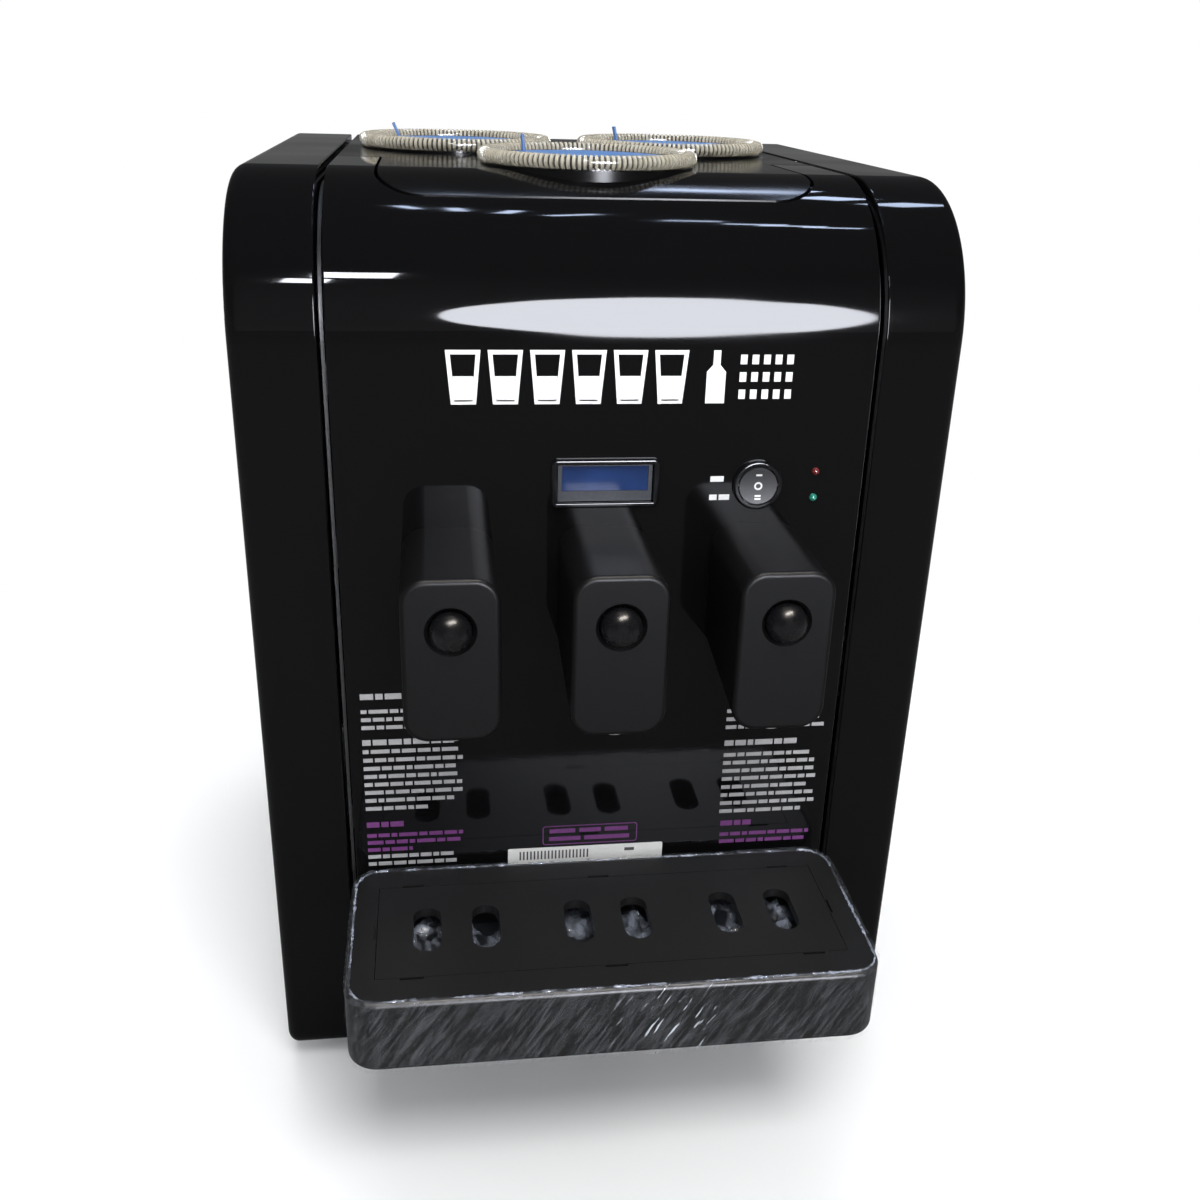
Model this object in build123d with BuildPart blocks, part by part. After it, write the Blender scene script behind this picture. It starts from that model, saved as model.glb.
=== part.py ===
"""Shot dispenser for three bottles: lit bottle rings on top, three push-button taps and a drip tray.

Millimetres. X to the right, Y to the back, Z up. The origin is on the surface that the feet
stand on, in the middle of the whole outline from the tray's front to the rear.
"""
from build123d import *
import math
import os

os.makedirs("parts", exist_ok=True)

# Body and covers
body_width = 320.0
body_depth = 326.0
body_height = 440.0
cover_wall = 3.0
curve_radius = 66.0
lower_edge_radius = 10.0
side_edge_radius = 6.0
groove_place = 121.0
groove_width = 3.5
groove_edge_radius = 0.7
lip_depth = 7.0
lip_wall = 2.4
seat_gap = 0.3
sheet = 1.5

# Base pan and frame plates
pan_wall = 15.0
pan_corner = 3.0
pan_vent_setback = 93.0
pan_vent_pitch_x = 30.0
pan_vent_pitch_y = 16.0
pan_vent_length = 22.0
pan_vent_width = 5.0
shelf_flange = 14.0
boss_rises = (28.0, 138.0)
boss_drops = (162.0, 82.0)
boss_inset = 18.0
boss_radius = 5.0
tab_height_frame = 14.0
window_rise = 88.0
window_drop = 112.0
window_bridge = 100.0
frame_tab_gap = 1.0
window_margin = 106.0
window_corner = 18.0

# Feet
foot_height = 12.0
foot_radius = 14.0
foot_taper = 2.0
foot_recess_radius = 4.5
foot_recess_depth = 3.0
foot_inset = 34.0
foot_setback = 35.0

# Top cover
tongue_half_width = 97.0
tongue_front = 33.0
tongue_corner = 20.0
shoulder_place = 125.0
cover_seam = 1.4
seam_corner = 2.0
seam_end_corner = 0.5
cover_post_side = 111.0
cover_post_depths = (143.0, 268.0)
post_radius = 4.0

# Bottle places, measured from the middle plane and from the front panel
front_bottle_depth = 95.0
rear_bottle_depth = 203.8
rear_bottle_side = 59.6
ring_radius = 49.0
ring_tube = 3.6
ring_centre_height = 4.9
collar_width = 3.8
collar_depth = 5.0
spigot_outer = 46.4
spigot_bore = 43.0
spigot_ledge = 41.0
ledge_thickness = 4.0
cap_thickness = 1.2
cap_height = 4.3
cap_clearance = 0.5
tab_leans = {"front": 0.10, "left": 0.45, "right": 0.22}
tab_width = 6.0
tab_height = 9.0
tab_thickness = 1.4
tab_place = 30.0
tab_corner = 0.5

# Bottle wells
carrier_drop = 10.5
carrier_reach = 41.0
carrier_rear_gap = 14.0
carrier_flange = 16.0
well_bore = 43.0
well_wall = 2.0
well_flange = 50.0
well_shoulder_drop = 80.0
well_neck_drop = 106.0
well_floor_drop = 136.0
neck_bore = 18.0
receiver_height = 20.0
barb_radius = 4.0
barb_bore = 2.6
drain_clearance = 1.0
cone_depth = 12.0
cone_rim = 4.0
fit_clearance = 0.05
hose_wall = 2.0
spike_height = 46.0
spike_radius = 2.2
spike_offset = 7.0
spike_root = 6.0

# Chill block and its jacket
block_width = 170.0
block_depth = 150.0
block_height = 60.0
line_rise = 46.0
block_setback = 80.0
block_corner = 6.0
tap_barb = 10.0
jacket_corner = 8.0
channel_radius = 2.6
coil_radius = 4.0
coil_pitch = 22.0
coil_passes = 6
coil_half_run = 56.0
tail_bend = 10.0
tail_length = 8.0
tail_pitch = 12.0
jacket_wall = 15.0
jacket_floor = 14.0
jacket_lid = 11.7
coil_space = 9.0

# Taps
tap_spacing = 70.6
tap_width = 41.2
tap_reach = 62.2
tap_drop = 147.7
tap_height = 74.6
tap_rise = 11.0
tap_corner = 10.8
tap_wall = 2.5
tap_edge_radius = 2.2
spout_reach = 48.0
spout_drop = 3.7
spout_radius = 5.0
spout_wall = 1.2
spout_bend = 12.0
spout_collar = 1.0
spout_collar_height = 10.0
spout_insertion = 5.0
spout_opening = 2.5
washer_thickness = 2.0
line_drop = 46.3
nut_radius = 9.0
nut_height = 6.0

# Push buttons
button_drop = 22.9
ball_radius = 8.8
button_travel = 4.0
pocket_radius = 9.3
pocket_depth = 15.0
pocket_wall = 2.0
pocket_chamfer = 1.6
cap_back = 3.5
stem_radius = 3.0
stem_length = 27.0
spring_radius = 5.6
spring_wire = 0.8
spring_turns = 5
switch_length = 20.0
switch_depth = 10.0
switch_thickness = 6.4
shelf_thickness = 2.0
shelf_overlap = 4.0
stem_collar = 2.5
stem_collar_thickness = 1.2
spring_end_gap = 0.2
terminal_pitch = 7.0
terminal_width = 3.2
terminal_thickness = 0.6
terminal_length = 6.0
wire_hole_radius = 4.0

# Valves
valve_width = 24.0
valve_length = 30.0
valve_height = 22.0
valve_coil_height = 28.0
valve_coil_radius = 14.0
valve_collar = 7.0
valve_body_front = 22.0
valve_mouth = 11.0
valve_socket = 6.0
valve_yoke = 4.0

# Display
display_gap = 8.6
display_width = 48.8
display_tall = 22.8
display_proud = 2.0
display_corner = 3.0
display_rim = 2.0
display_edge_radius = 1.2
display_inner_radius = 0.7
display_tail = 2.0
frame_width = 43.7
frame_tall = 18.1
frame_clearance = 0.3
glass_width = 38.8
glass_tall = 11.4
glass_rise = 2.0
module_depth = 7.0
module_front_depth = 3.0
module_set_in = 0.2
glass_thickness = 2.6
glass_set_in = 0.3
glass_clearance = 0.1

# Mode switch and lamps
switch_x = 69.8
switch_drop = 1.7
switch_flange = 11.5
switch_body = 10.0
switch_proud = 2.2
switch_body_depth = 20.0
rocker_radius = 8.7
rocker_clearance = 0.6
rocker_thickness = 5.0
rocker_proud = 0.9
rocker_dish = 0.8
pivot_radius = 1.0
rocker_edge_radius = 0.8
rocker_cavity = 4.5
pin_seat = 0.4
pin_end_gap = 0.1
switch_edge_radius = 1.2
blade_width = 0.8
blade_height = 4.8
blade_length = 8.0
blade_pitch_x = 10.0
blade_pitch_z = 6.0
lamp_x = 96.7
red_lamp_rise = 4.3
green_lamp_drop = 8.1
lamp_radius = 1.75
lamp_seat = 0.2
lamp_collar = 0.8
lamp_tail = 1.5

# Control board
board_gap = 1.0
board_thickness = 1.6
board_width = 100.0
board_tall = 56.0
board_x = -8.0
board_rise = 8.0
board_post_radius = 2.5
board_post_inset = 5.0
relay_block = (22.0, 26.0)
chip = (14.0, 14.0)
connector = (26.0, 12.0)
component_height = 10.0
capacitor_radius = 4.0
capacitor_height = 9.0

# Drip tray
tray_width = 240.0
tray_depth = 97.5
tray_height = 36.3
tray_top = 126.0
tray_gap = 4.3
tray_corner = 14.0
tray_wall = 2.5
tray_edge_radius = 2.4
grid_width = 214.0
grid_depth = 65.0
grid_thickness = 2.5
grid_ledge = 3.0
grid_gap = 0.3
grid_middle = 52.2
slot_offset = 13.6
slot_length = 31.0
slot_width = 12.9
slot_rim = 1.2
notch_length = 10.5
notch_width = 1.6
notch_depth = 1.5
notch_side = 91.0
slot_rim_drop = 2.0
bracket_flange_x = 9.0
bracket_flange_z = 11.0
bracket_gap = 0.2
tongue_place = 70.0
tongue_width = 20.0
tongue_thickness = 4.0
tongue_length = 40.0
tongue_drop = 24.0

# Compressor bay
compressor_x = -34.0
compressor_setback = 107.0
compressor_half_length = 72.0
compressor_half_width = 56.0
compressor_headroom = 22.0
compressor_lift = 10.0
compressor_top_radius = 30.0
compressor_foot_radius = 16.0
weld_rim = 4.0
weld_place = 0.4
foot_plate_length = 164.0
foot_plate_width = 104.0
foot_plate_inset = 10.0
foot_plate_thickness = 2.5
cradle_length = 60.0
cradle_width = 70.0
cradle_height = 20.0
stem_height = 6.0
grommet_height = 18.0
grommet_radius = 9.0
grommet_stem = 5.0
relay_size = (26.0, 44.0, 46.0)
relay_corner = 3.0
condenser_depth = 34.0
condenser_setback = 29.0
condenser_fins = 28
fin_spacing = 5.8
fin_thickness = 0.8
condenser_low = 34.0
fin_overlap = 13.75
end_plate_gap = 3.0
end_plate_extra = 4.0
condenser_passes = 6
tube_overhang = 6.0
stub_place = 22.0
stub_height = 4.0
stub_wall = 0.6
line_radius = 3.0
line_bend = 6.0
capillary_radius = 1.5
lines_x = -96.0
lines_drop = 4.0
line_step = 14.0
capillary_offset = 16.0
drier_radius = 9.0
drier_length = 70.0
drier_gap = 21.0
drier_rise = 12.0
fan_radius = 56.0
fan_tip_gap = 3.0
fan_depth = 12.0
rotor_setback = 10.0
spider_gap = 5.0
spider_thickness = 2.0
spider_arm = 8.0
spider_rim = 3.0
spider_hole = 13.0
fan_blades = 5
blade_thickness = 1.6
blade_chord = 22.0
blade_pitch = 55.0
blade_root = 2.0
shroud_overhang = 6.0
shroud_corner = 4.0
duct_wall = 2.0
hub_radius = 17.0
shaft_radius = 2.5
motor_radius = 24.0
motor_length = 30.0
motor_edge_radius = 4.0
shaft_insertion = 10.0
shaft_end_gap = 2.0

# Rear panel
vent_length = 86.0
vent_width = 4.0
vent_pitch = 10.0
vent_rows = 12
vent_half_gap = 6.0
screw_inset = 7.0
screw_rises = (18.0, 148.0)
screw_drops = (152.0, 22.0)
screw_head_height = 2.0
screw_length = 6.0
screw_cross = 4.0
screw_cross_width = 0.8
screw_cross_depth = 1.0
screw_head = 3.6
screw_shank = 1.6
inlet_inset = 21.0
inlet_z = 60.0
inlet_width = 27.0
inlet_tall = 20.0
inlet_depth = 24.0
inlet_flange = 2.0
inlet_wall = 1.5
inlet_corner = 3.0
inlet_rim_x = 2.0
inlet_rim_z = 4.0
inlet_cavity = 15.0
contact_pitch = 7.0
contact_drop = 2.0
earth_rise = 3.0
contact_width = 2.0
contact_height = 4.0
contact_length = 12.0
tail_width = 0.8
tail_height = 6.3
tail_reach = 8.0

# Places that follow from the sizes above
tray_reach = tray_gap + tray_depth
front_y = tray_reach - (tray_reach + body_depth + inlet_flange) / 2
rear_y = front_y + body_depth
bottom_z = foot_height
top_z = foot_height + body_height
panel_half = groove_place - groove_width / 2
cover_edge = groove_place + groove_width / 2
inner_front = front_y + cover_wall
floor_z = bottom_z + sheet
frame_half = groove_place - sheet / 2
carrier_z = top_z - carrier_drop
boss_heights = [bottom_z + z for z in boss_rises] + [top_z - z for z in boss_drops]
screw_heights = [bottom_z + z for z in screw_rises] + [top_z - z for z in screw_drops]
frame_windows = (bottom_z + window_rise, top_z - window_drop)
window_height = body_height / 2 - window_bridge
window_depth = body_depth - window_margin
foot_place_x = body_width / 2 - foot_inset
inlet_x = body_width / 2 - inlet_inset
bottle_places = {
    "front": (0.0, front_y + front_bottle_depth),
    "left": (-rear_bottle_side, front_y + rear_bottle_depth),
    "right": (rear_bottle_side, front_y + rear_bottle_depth),
}
tap_places = {"left": -tap_spacing, "middle": 0.0, "right": tap_spacing}
tap_face = front_y - tap_reach
tap_top = top_z - tap_drop
tap_bottom = tap_top - tap_height
button_height = tap_top - button_drop
line_height = tap_top - line_drop
spout_tip = tap_bottom - spout_drop
display_height = tap_top + display_gap + display_tall / 2
switch_z = display_height - switch_drop
red_lamp_z = display_height + red_lamp_rise
green_lamp_z = display_height - green_lamp_drop
spout_y = front_y - spout_reach
block_bottom = line_height - line_rise
block_top = block_bottom + block_height
block_front_y = front_y + block_setback
block_middle_y = block_front_y + block_depth / 2
jacket_front_y = block_front_y - jacket_wall
jacket_bottom = block_bottom - coil_space - jacket_floor
jacket_top = block_top + jacket_lid
tray_rear = front_y - tray_gap
tray_middle = tray_rear - tray_depth / 2
grid_y = front_y - grid_middle
compressor_y = front_y + compressor_setback
condenser_y = rear_y - condenser_setback
grommet_x = foot_plate_length / 2 - foot_plate_inset
grommet_y = foot_plate_width / 2 - foot_plate_inset
drier_back = compressor_y + grommet_y + grommet_radius + drier_gap + drier_length
compressor_low = floor_z + grommet_height + compressor_lift
compressor_height = jacket_bottom - sheet - compressor_headroom - compressor_low
neck_floor = top_z - well_floor_drop
hose_low = jacket_top + seat_gap
hose_top = neck_floor - well_wall - seat_gap
barb_length = (hose_top - hose_low) / 3


def save(part, name):
    """Labels a finished piece and writes it under its name."""
    part.label = name
    export_step(part, f"parts/{name}.step")


def facing(y):
    """A plane across the machine at a depth, seen from the front."""
    return Plane.XZ.offset(-y)


def side_outline(inset, low, back, low_radius=0.0):
    """The body's side outline, set in from the outside, drawn on a plane square to X."""
    front = front_y + inset
    top = top_z - inset
    bend = curve_radius - inset
    with BuildLine() as outline:
        Line((back, low), (front + low_radius, low))
        if low_radius > 0:
            CenterArc((front + low_radius, low + low_radius), low_radius, 270, -90)
        Line((front, low + low_radius), (front, top - bend))
        CenterArc((front + bend, top - bend), bend, 180, -90)
        Line((front + bend, top), (back, top))
        Line((back, top), (back, low))
    make_face(outline.edges())


def quarter_turn(start, end, middle):
    """A quarter circle from start to end about a middle point."""
    centre = Vector(middle)
    reach = (Vector(start) - centre).length
    half_way = centre + ((Vector(start) + Vector(end)) / 2 - centre).normalized() * reach
    ThreePointArc(start, half_way, end)


def hollow_outline():
    """The inside of a cover: open below and behind, with the front edge turned under."""
    side_outline(cover_wall, bottom_z + cover_wall, rear_y + 1, lower_edge_radius - cover_wall)
    with Locations((front_y + lower_edge_radius, bottom_z - 1)):
        Rectangle(body_depth, cover_wall + lower_edge_radius, align=(Align.MIN, Align.MIN))


def lip_outline():
    """The opening inside the turned-in lips beside a groove, with room behind for the rear panel."""
    side_outline(lip_depth, bottom_z + cover_wall, rear_y + 1, lower_edge_radius - cover_wall)
    with Locations((front_y + lower_edge_radius, bottom_z - 1)):
        Rectangle(body_depth, cover_wall + lower_edge_radius, align=(Align.MIN, Align.MIN))
    with Locations((rear_y - sheet - seat_gap, bottom_z)):
        Rectangle(2 * lip_depth, body_height - cover_wall, align=(Align.MIN, Align.MIN))


def top_region(grow, front_extra):
    """The top cover seen from above: a full-width rear part and a tongue with round corners."""
    tongue = tongue_half_width + grow
    tongue_y = front_y + tongue_front - grow
    shoulder_y = front_y + shoulder_place - grow
    half = panel_half + front_extra
    with BuildLine() as region:
        FilletPolyline(
            (-half, rear_y + front_extra),
            (-half, shoulder_y),
            (-tongue, shoulder_y),
            (-tongue, tongue_y),
            (tongue, tongue_y),
            (tongue, shoulder_y),
            (half, shoulder_y),
            (half, rear_y + front_extra),
            radius=[seam_end_corner, seam_corner, tongue_corner, tongue_corner, seam_corner, seam_end_corner],
        )
        Line((half, rear_y + front_extra), (-half, rear_y + front_extra))
    make_face(region.edges())


# Feet, base pan and frame

with BuildPart() as rubber_feet:
    for foot_x in (-foot_place_x, foot_place_x):
        for foot_y in (front_y + foot_setback, rear_y - foot_setback):
            with BuildSketch(Plane.XY):
                with Locations((foot_x, foot_y)):
                    Circle(foot_radius - foot_taper)
            with BuildSketch(Plane.XY.offset(foot_height)):
                with Locations((foot_x, foot_y)):
                    Circle(foot_radius)
            loft()
            with Locations((foot_x, foot_y, 0)):
                Cylinder(foot_recess_radius, foot_recess_depth,
                         align=(Align.CENTER, Align.CENTER, Align.MIN), mode=Mode.SUBTRACT)
save(rubber_feet.part, "rubber_feet")

pan_half = body_width / 2 - cover_wall - seat_gap
pan_front = front_y + lower_edge_radius + seat_gap
pan_back = rear_y - sheet - seat_gap
with BuildPart() as base_pan:
    with BuildSketch(Plane.XY.offset(bottom_z)):
        with Locations((0, (pan_front + pan_back) / 2)):
            RectangleRounded(2 * pan_half, pan_back - pan_front, pan_corner)
    extrude(amount=pan_wall)
    with BuildSketch(Plane.XY.offset(floor_z)):
        with Locations((0, (pan_front + pan_back) / 2)):
            RectangleRounded(2 * (pan_half - sheet), pan_back - pan_front - 2 * sheet, pan_corner - sheet)
    extrude(amount=pan_wall, mode=Mode.SUBTRACT)
    with BuildSketch(Plane.XY.offset(bottom_z)):
        with Locations((0, rear_y - pan_vent_setback)):
            with GridLocations(pan_vent_pitch_x, pan_vent_pitch_y, 5, 4):
                SlotOverall(pan_vent_length, pan_vent_width)
    extrude(amount=sheet, mode=Mode.SUBTRACT)
save(base_pan.part, "base_pan")


def frame_plate(side):
    """A sheet-metal side plate with two large windows and tabs that the panel's bosses meet."""
    tab_y = front_y + lip_depth + frame_tab_gap
    with BuildPart() as plate:
        with BuildSketch(Plane.YZ.offset(side * frame_half)):
            side_outline(lip_depth, floor_z, rear_y - sheet - seat_gap, lower_edge_radius)
            with Locations(*[((tab_y + rear_y) / 2, z) for z in frame_windows]):
                RectangleRounded(window_depth, window_height, window_corner, mode=Mode.SUBTRACT)
            with Locations((pan_front + sheet + seat_gap, floor_z)):
                Rectangle(2 * lip_depth, pan_wall, align=(Align.MAX, Align.MIN), mode=Mode.SUBTRACT)
            with Locations((pan_back - sheet - seat_gap, floor_z)):
                Rectangle(2 * lip_depth, pan_wall, align=(Align.MIN, Align.MIN), mode=Mode.SUBTRACT)
        extrude(amount=side * sheet)
        for tab_z in boss_heights:
            with BuildSketch(facing(tab_y)):
                with Locations((side * (frame_half - boss_inset / 2), tab_z)):
                    Rectangle(boss_inset, tab_height_frame)
            extrude(amount=-sheet)
    return plate.part


save(frame_plate(-1), "left_frame")
save(frame_plate(1), "right_frame")

carrier_front = front_y + carrier_reach
carrier_step = front_y + curve_radius + lip_depth
carrier_back = rear_y - carrier_rear_gap
with BuildPart() as well_carrier:
    with BuildSketch(Plane.XY.offset(carrier_z - sheet)):
        with Locations((0, carrier_back)):
            Rectangle(2 * frame_half, carrier_back - carrier_step, align=(Align.CENTER, Align.MAX))
        with Locations((0, carrier_step)):
            Rectangle(2 * tongue_half_width, carrier_step - carrier_front, align=(Align.CENTER, Align.MAX))
    extrude(amount=sheet)
    for side in (-1, 1):
        with BuildSketch(Plane.YZ.offset(side * frame_half)):
            with Locations((carrier_back, carrier_z)):
                Rectangle(carrier_back - carrier_step, carrier_flange, align=(Align.MAX, Align.MAX))
        extrude(amount=-side * sheet)
    with BuildSketch(Plane.XY.offset(carrier_z)):
        with Locations(*bottle_places.values()):
            Circle(well_bore + well_wall + seat_gap)
    extrude(amount=-2 * sheet, mode=Mode.SUBTRACT)
save(well_carrier.part, "well_carrier")

with BuildPart() as block_shelf:
    with BuildSketch(Plane.XY.offset(jacket_bottom)):
        with Locations((0, block_middle_y)):
            Rectangle(2 * frame_half, block_depth + 2 * jacket_wall)
    extrude(amount=-sheet)
    for side in (-1, 1):
        with BuildSketch(Plane.YZ.offset(side * frame_half)):
            with Locations((block_middle_y, jacket_bottom)):
                Rectangle(block_depth, shelf_flange, align=(Align.CENTER, Align.MAX))
        extrude(amount=-side * sheet)
save(block_shelf.part, "block_shelf")

# Side covers, front panel, top cover and rear panel


def side_cover(side):
    """One C-shaped cover: the side wall and the band that wraps round the front and the top."""
    outside = body_width / 2
    with BuildPart() as cover:
        with BuildSketch(Plane.YZ.offset(side * cover_edge)):
            side_outline(0, bottom_z, rear_y, lower_edge_radius)
        extrude(amount=side * (outside - cover_edge))
        outer_face = cover.faces().sort_by(Axis.X)[-1 if side > 0 else 0]
        rounded = [e for e in outer_face.edges() if e.center().Y < rear_y - 1 and e.center().Z > bottom_z + 1]
        fillet(rounded, radius=side_edge_radius)
        groove_face = cover.faces().sort_by(Axis.X)[0 if side > 0 else -1]
        lipped = [e for e in groove_face.edges() if e.center().Y < rear_y - 1 and e.center().Z > bottom_z + 1]
        fillet(lipped, radius=groove_edge_radius)
        with BuildSketch(Plane.YZ.offset(side * (cover_edge + lip_wall))):
            hollow_outline()
        extrude(amount=side * (outside - cover_wall - cover_edge - lip_wall), mode=Mode.SUBTRACT)
        with BuildSketch(Plane.YZ.offset(side * cover_edge)):
            lip_outline()
        extrude(amount=side * lip_wall, mode=Mode.SUBTRACT)
    return cover.part


save(side_cover(-1), "left_side_cover")
save(side_cover(1), "right_side_cover")

with BuildPart() as middle_shell:
    with BuildSketch(Plane.YZ.offset(-panel_half)):
        side_outline(0, bottom_z, rear_y, lower_edge_radius)
    extrude(amount=2 * panel_half)
    for side_face in (middle_shell.faces().sort_by(Axis.X)[0], middle_shell.faces().sort_by(Axis.X)[-1]):
        rims = [e for e in side_face.edges() if e.center().Y < rear_y - 1 and e.center().Z > bottom_z + 1]
        fillet(rims, radius=groove_edge_radius)
    with BuildSketch(Plane.YZ.offset(-panel_half + lip_wall)):
        hollow_outline()
    extrude(amount=2 * (panel_half - lip_wall), mode=Mode.SUBTRACT)
    with BuildSketch(Plane.YZ.offset(-panel_half)):
        lip_outline()
    extrude(amount=2 * panel_half, mode=Mode.SUBTRACT)

window_width = display_width - 2 * display_rim
window_tall = display_tall - 2 * display_rim
tongue_z = tray_top - tongue_drop
sleeve_width = tongue_width + 2 * seat_gap
sleeve_height = tongue_thickness + 2 * seat_gap
with BuildPart() as front_panel:
    add(middle_shell.part)
    with BuildSketch(Plane.XY.offset(top_z - curve_radius)):
        top_region(cover_seam, 1)
    extrude(amount=curve_radius + 1, mode=Mode.SUBTRACT)
    with BuildSketch(facing(inner_front)):
        for side in (-1, 1):
            with Locations(*[(side * (frame_half - boss_inset / 2), z) for z in boss_heights]):
                Circle(boss_radius)
    extrude(amount=-(lip_depth + frame_tab_gap - cover_wall))
    with BuildSketch(facing(front_y)):
        with Locations(*[(x, line_height) for x in tap_places.values()]):
            Circle(spout_radius + seat_gap)
        with Locations(*[(x, button_height) for x in tap_places.values()]):
            Circle(wire_hole_radius)
        with Locations((0, display_height)):
            RectangleRounded(window_width, window_tall, display_rim)
        with Locations((switch_x, switch_z)):
            Circle(switch_body + fit_clearance)
        with Locations((lamp_x, red_lamp_z), (lamp_x, green_lamp_z)):
            Circle(lamp_radius + fit_clearance)
        with Locations((-tongue_place, tongue_z), (tongue_place, tongue_z)):
            Rectangle(sleeve_width, sleeve_height)
    extrude(amount=-2 * cover_wall, mode=Mode.SUBTRACT)
save(front_panel.part, "front_panel")

with BuildPart() as cover_zone:
    with BuildSketch(Plane.XY.offset(top_z - curve_radius)):
        top_region(0, 0)
    extrude(amount=curve_radius + 1)

collar_top = top_z + ring_centre_height - ring_tube - seat_gap
with BuildPart() as top_cover:
    add(middle_shell.part)
    add(cover_zone.part, mode=Mode.INTERSECT)
    with BuildSketch(Plane.XY.offset(collar_top)):
        with Locations(*bottle_places.values()):
            Circle(spigot_outer + seat_gap + collar_width)
    extrude(amount=-(collar_top - top_z + collar_depth))
    with BuildSketch(Plane.XY.offset(collar_top)):
        with Locations(*bottle_places.values()):
            Circle(spigot_outer + seat_gap)
    extrude(amount=-curve_radius, mode=Mode.SUBTRACT)
    with BuildSketch(Plane.XY.offset(top_z - cover_wall)):
        with Locations(*[(s * cover_post_side, front_y + y) for s in (-1, 1) for y in cover_post_depths]):
            Circle(post_radius)
    extrude(amount=-(carrier_drop - cover_wall))
save(top_cover.part, "top_cover")

rear_outer = body_width / 2 - cover_wall - seat_gap
rear_screws = [(s * (rear_outer - screw_inset), z) for s in (-1, 1) for z in screw_heights]
vent_middle_z = condenser_low + vent_pitch * vent_rows / 2
vent_x = vent_length / 2 + vent_half_gap
with BuildPart() as rear_panel:
    with BuildSketch(facing(rear_y - sheet)):
        with Locations((0, (bottom_z + top_z - cover_wall) / 2)):
            Rectangle(2 * rear_outer, top_z - cover_wall - bottom_z - 2 * seat_gap)
        with Locations((0, vent_middle_z)):
            with GridLocations(2 * vent_x, vent_pitch, 2, vent_rows):
                SlotOverall(vent_length, vent_width, mode=Mode.SUBTRACT)
        with Locations((inlet_x, inlet_z)):
            RectangleRounded(inlet_width + 2 * fit_clearance, inlet_tall + 2 * fit_clearance,
                             inlet_corner, mode=Mode.SUBTRACT)
        with Locations(*rear_screws):
            Circle(screw_shank + fit_clearance, mode=Mode.SUBTRACT)
    extrude(amount=-sheet)
save(rear_panel.part, "rear_panel")

with BuildPart() as cover_screws:
    for screw_place in rear_screws:
        with BuildSketch(facing(rear_y)):
            with Locations(screw_place):
                Circle(screw_head)
        extrude(amount=-screw_head_height)
        with BuildSketch(facing(rear_y)):
            with Locations(screw_place):
                Circle(screw_shank)
        extrude(amount=screw_length)
        with BuildSketch(facing(rear_y + screw_head_height)):
            with Locations(screw_place):
                Rectangle(screw_cross, screw_cross_width)
                Rectangle(screw_cross_width, screw_cross)
        extrude(amount=screw_cross_depth, mode=Mode.SUBTRACT)
save(cover_screws.part, "cover_screws")

# Bottle wells, light rings, dust covers and receivers

well_lip = carrier_z + well_wall
for place, (bottle_x, bottle_y) in bottle_places.items():
    bottle_axis = Axis((bottle_x, bottle_y, 0), (0, 0, 1))
    well_plane = Plane((bottle_x, bottle_y, 0), x_dir=(1, 0, 0), z_dir=(0, -1, 0))
    shoulder_z = top_z - well_shoulder_drop
    neck_z = top_z - well_neck_drop

    with BuildPart() as bottle_well:
        with BuildSketch(well_plane):
            with BuildLine():
                Polyline(
                    (well_bore, well_lip),
                    (well_bore, shoulder_z),
                    (neck_bore, neck_z),
                    (neck_bore, neck_floor),
                    (barb_radius + drain_clearance, neck_floor),
                    (barb_radius + drain_clearance, neck_floor - well_wall),
                    (neck_bore + well_wall, neck_floor - well_wall),
                    (neck_bore + well_wall, neck_z - 1),
                    (well_bore + well_wall, shoulder_z - 1),
                    (well_bore + well_wall, carrier_z),
                    (well_flange, carrier_z),
                    (well_flange, well_lip),
                    close=True,
                )
            make_face()
        revolve(axis=bottle_axis)
    save(bottle_well.part, f"bottle_well_{place}")

    with BuildPart() as light_ring:
        with BuildSketch(well_plane):
            with Locations((ring_radius, top_z + ring_centre_height)):
                Circle(ring_tube)
            with Locations((spigot_bore, well_lip + seat_gap)):
                Rectangle(spigot_outer - spigot_bore, top_z + ring_centre_height - well_lip - seat_gap,
                          align=(Align.MIN, Align.MIN))
            with Locations((spigot_ledge, well_lip + seat_gap)):
                Rectangle(spigot_outer - spigot_ledge, ledge_thickness, align=(Align.MIN, Align.MIN))
        revolve(axis=bottle_axis)
    save(light_ring.part, f"light_ring_{place}")

    ledge_z = well_lip + seat_gap + ledge_thickness
    cap_top = top_z + cap_height
    cap_radius = spigot_bore - cap_clearance
    with BuildPart() as dust_cover:
        with BuildSketch(well_plane):
            with BuildLine():
                Polyline(
                    (0, cap_top),
                    (cap_radius, cap_top),
                    (cap_radius, ledge_z + seat_gap),
                    (cap_radius - cap_thickness, ledge_z + seat_gap),
                    (cap_radius - cap_thickness, cap_top - cap_thickness),
                    (0, cap_top - cap_thickness),
                    close=True,
                )
            make_face()
        revolve(axis=bottle_axis)
        tab_foot = (bottle_x - tab_place, bottle_y, cap_top)
        with BuildSketch(Plane(tab_foot, x_dir=(1, 0, 0), z_dir=(-tab_leans[place], 0, 1))):
            RectangleRounded(tab_thickness, tab_width, tab_corner)
        extrude(amount=tab_height)
        with BuildSketch(Plane.XY.offset(cap_top)):
            with Locations((bottle_x - tab_place, bottle_y)):
                Rectangle(tab_thickness, tab_width)
        extrude(amount=-cap_thickness / 2)
    save(dust_cover.part, f"dust_cover_{place}")

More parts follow.
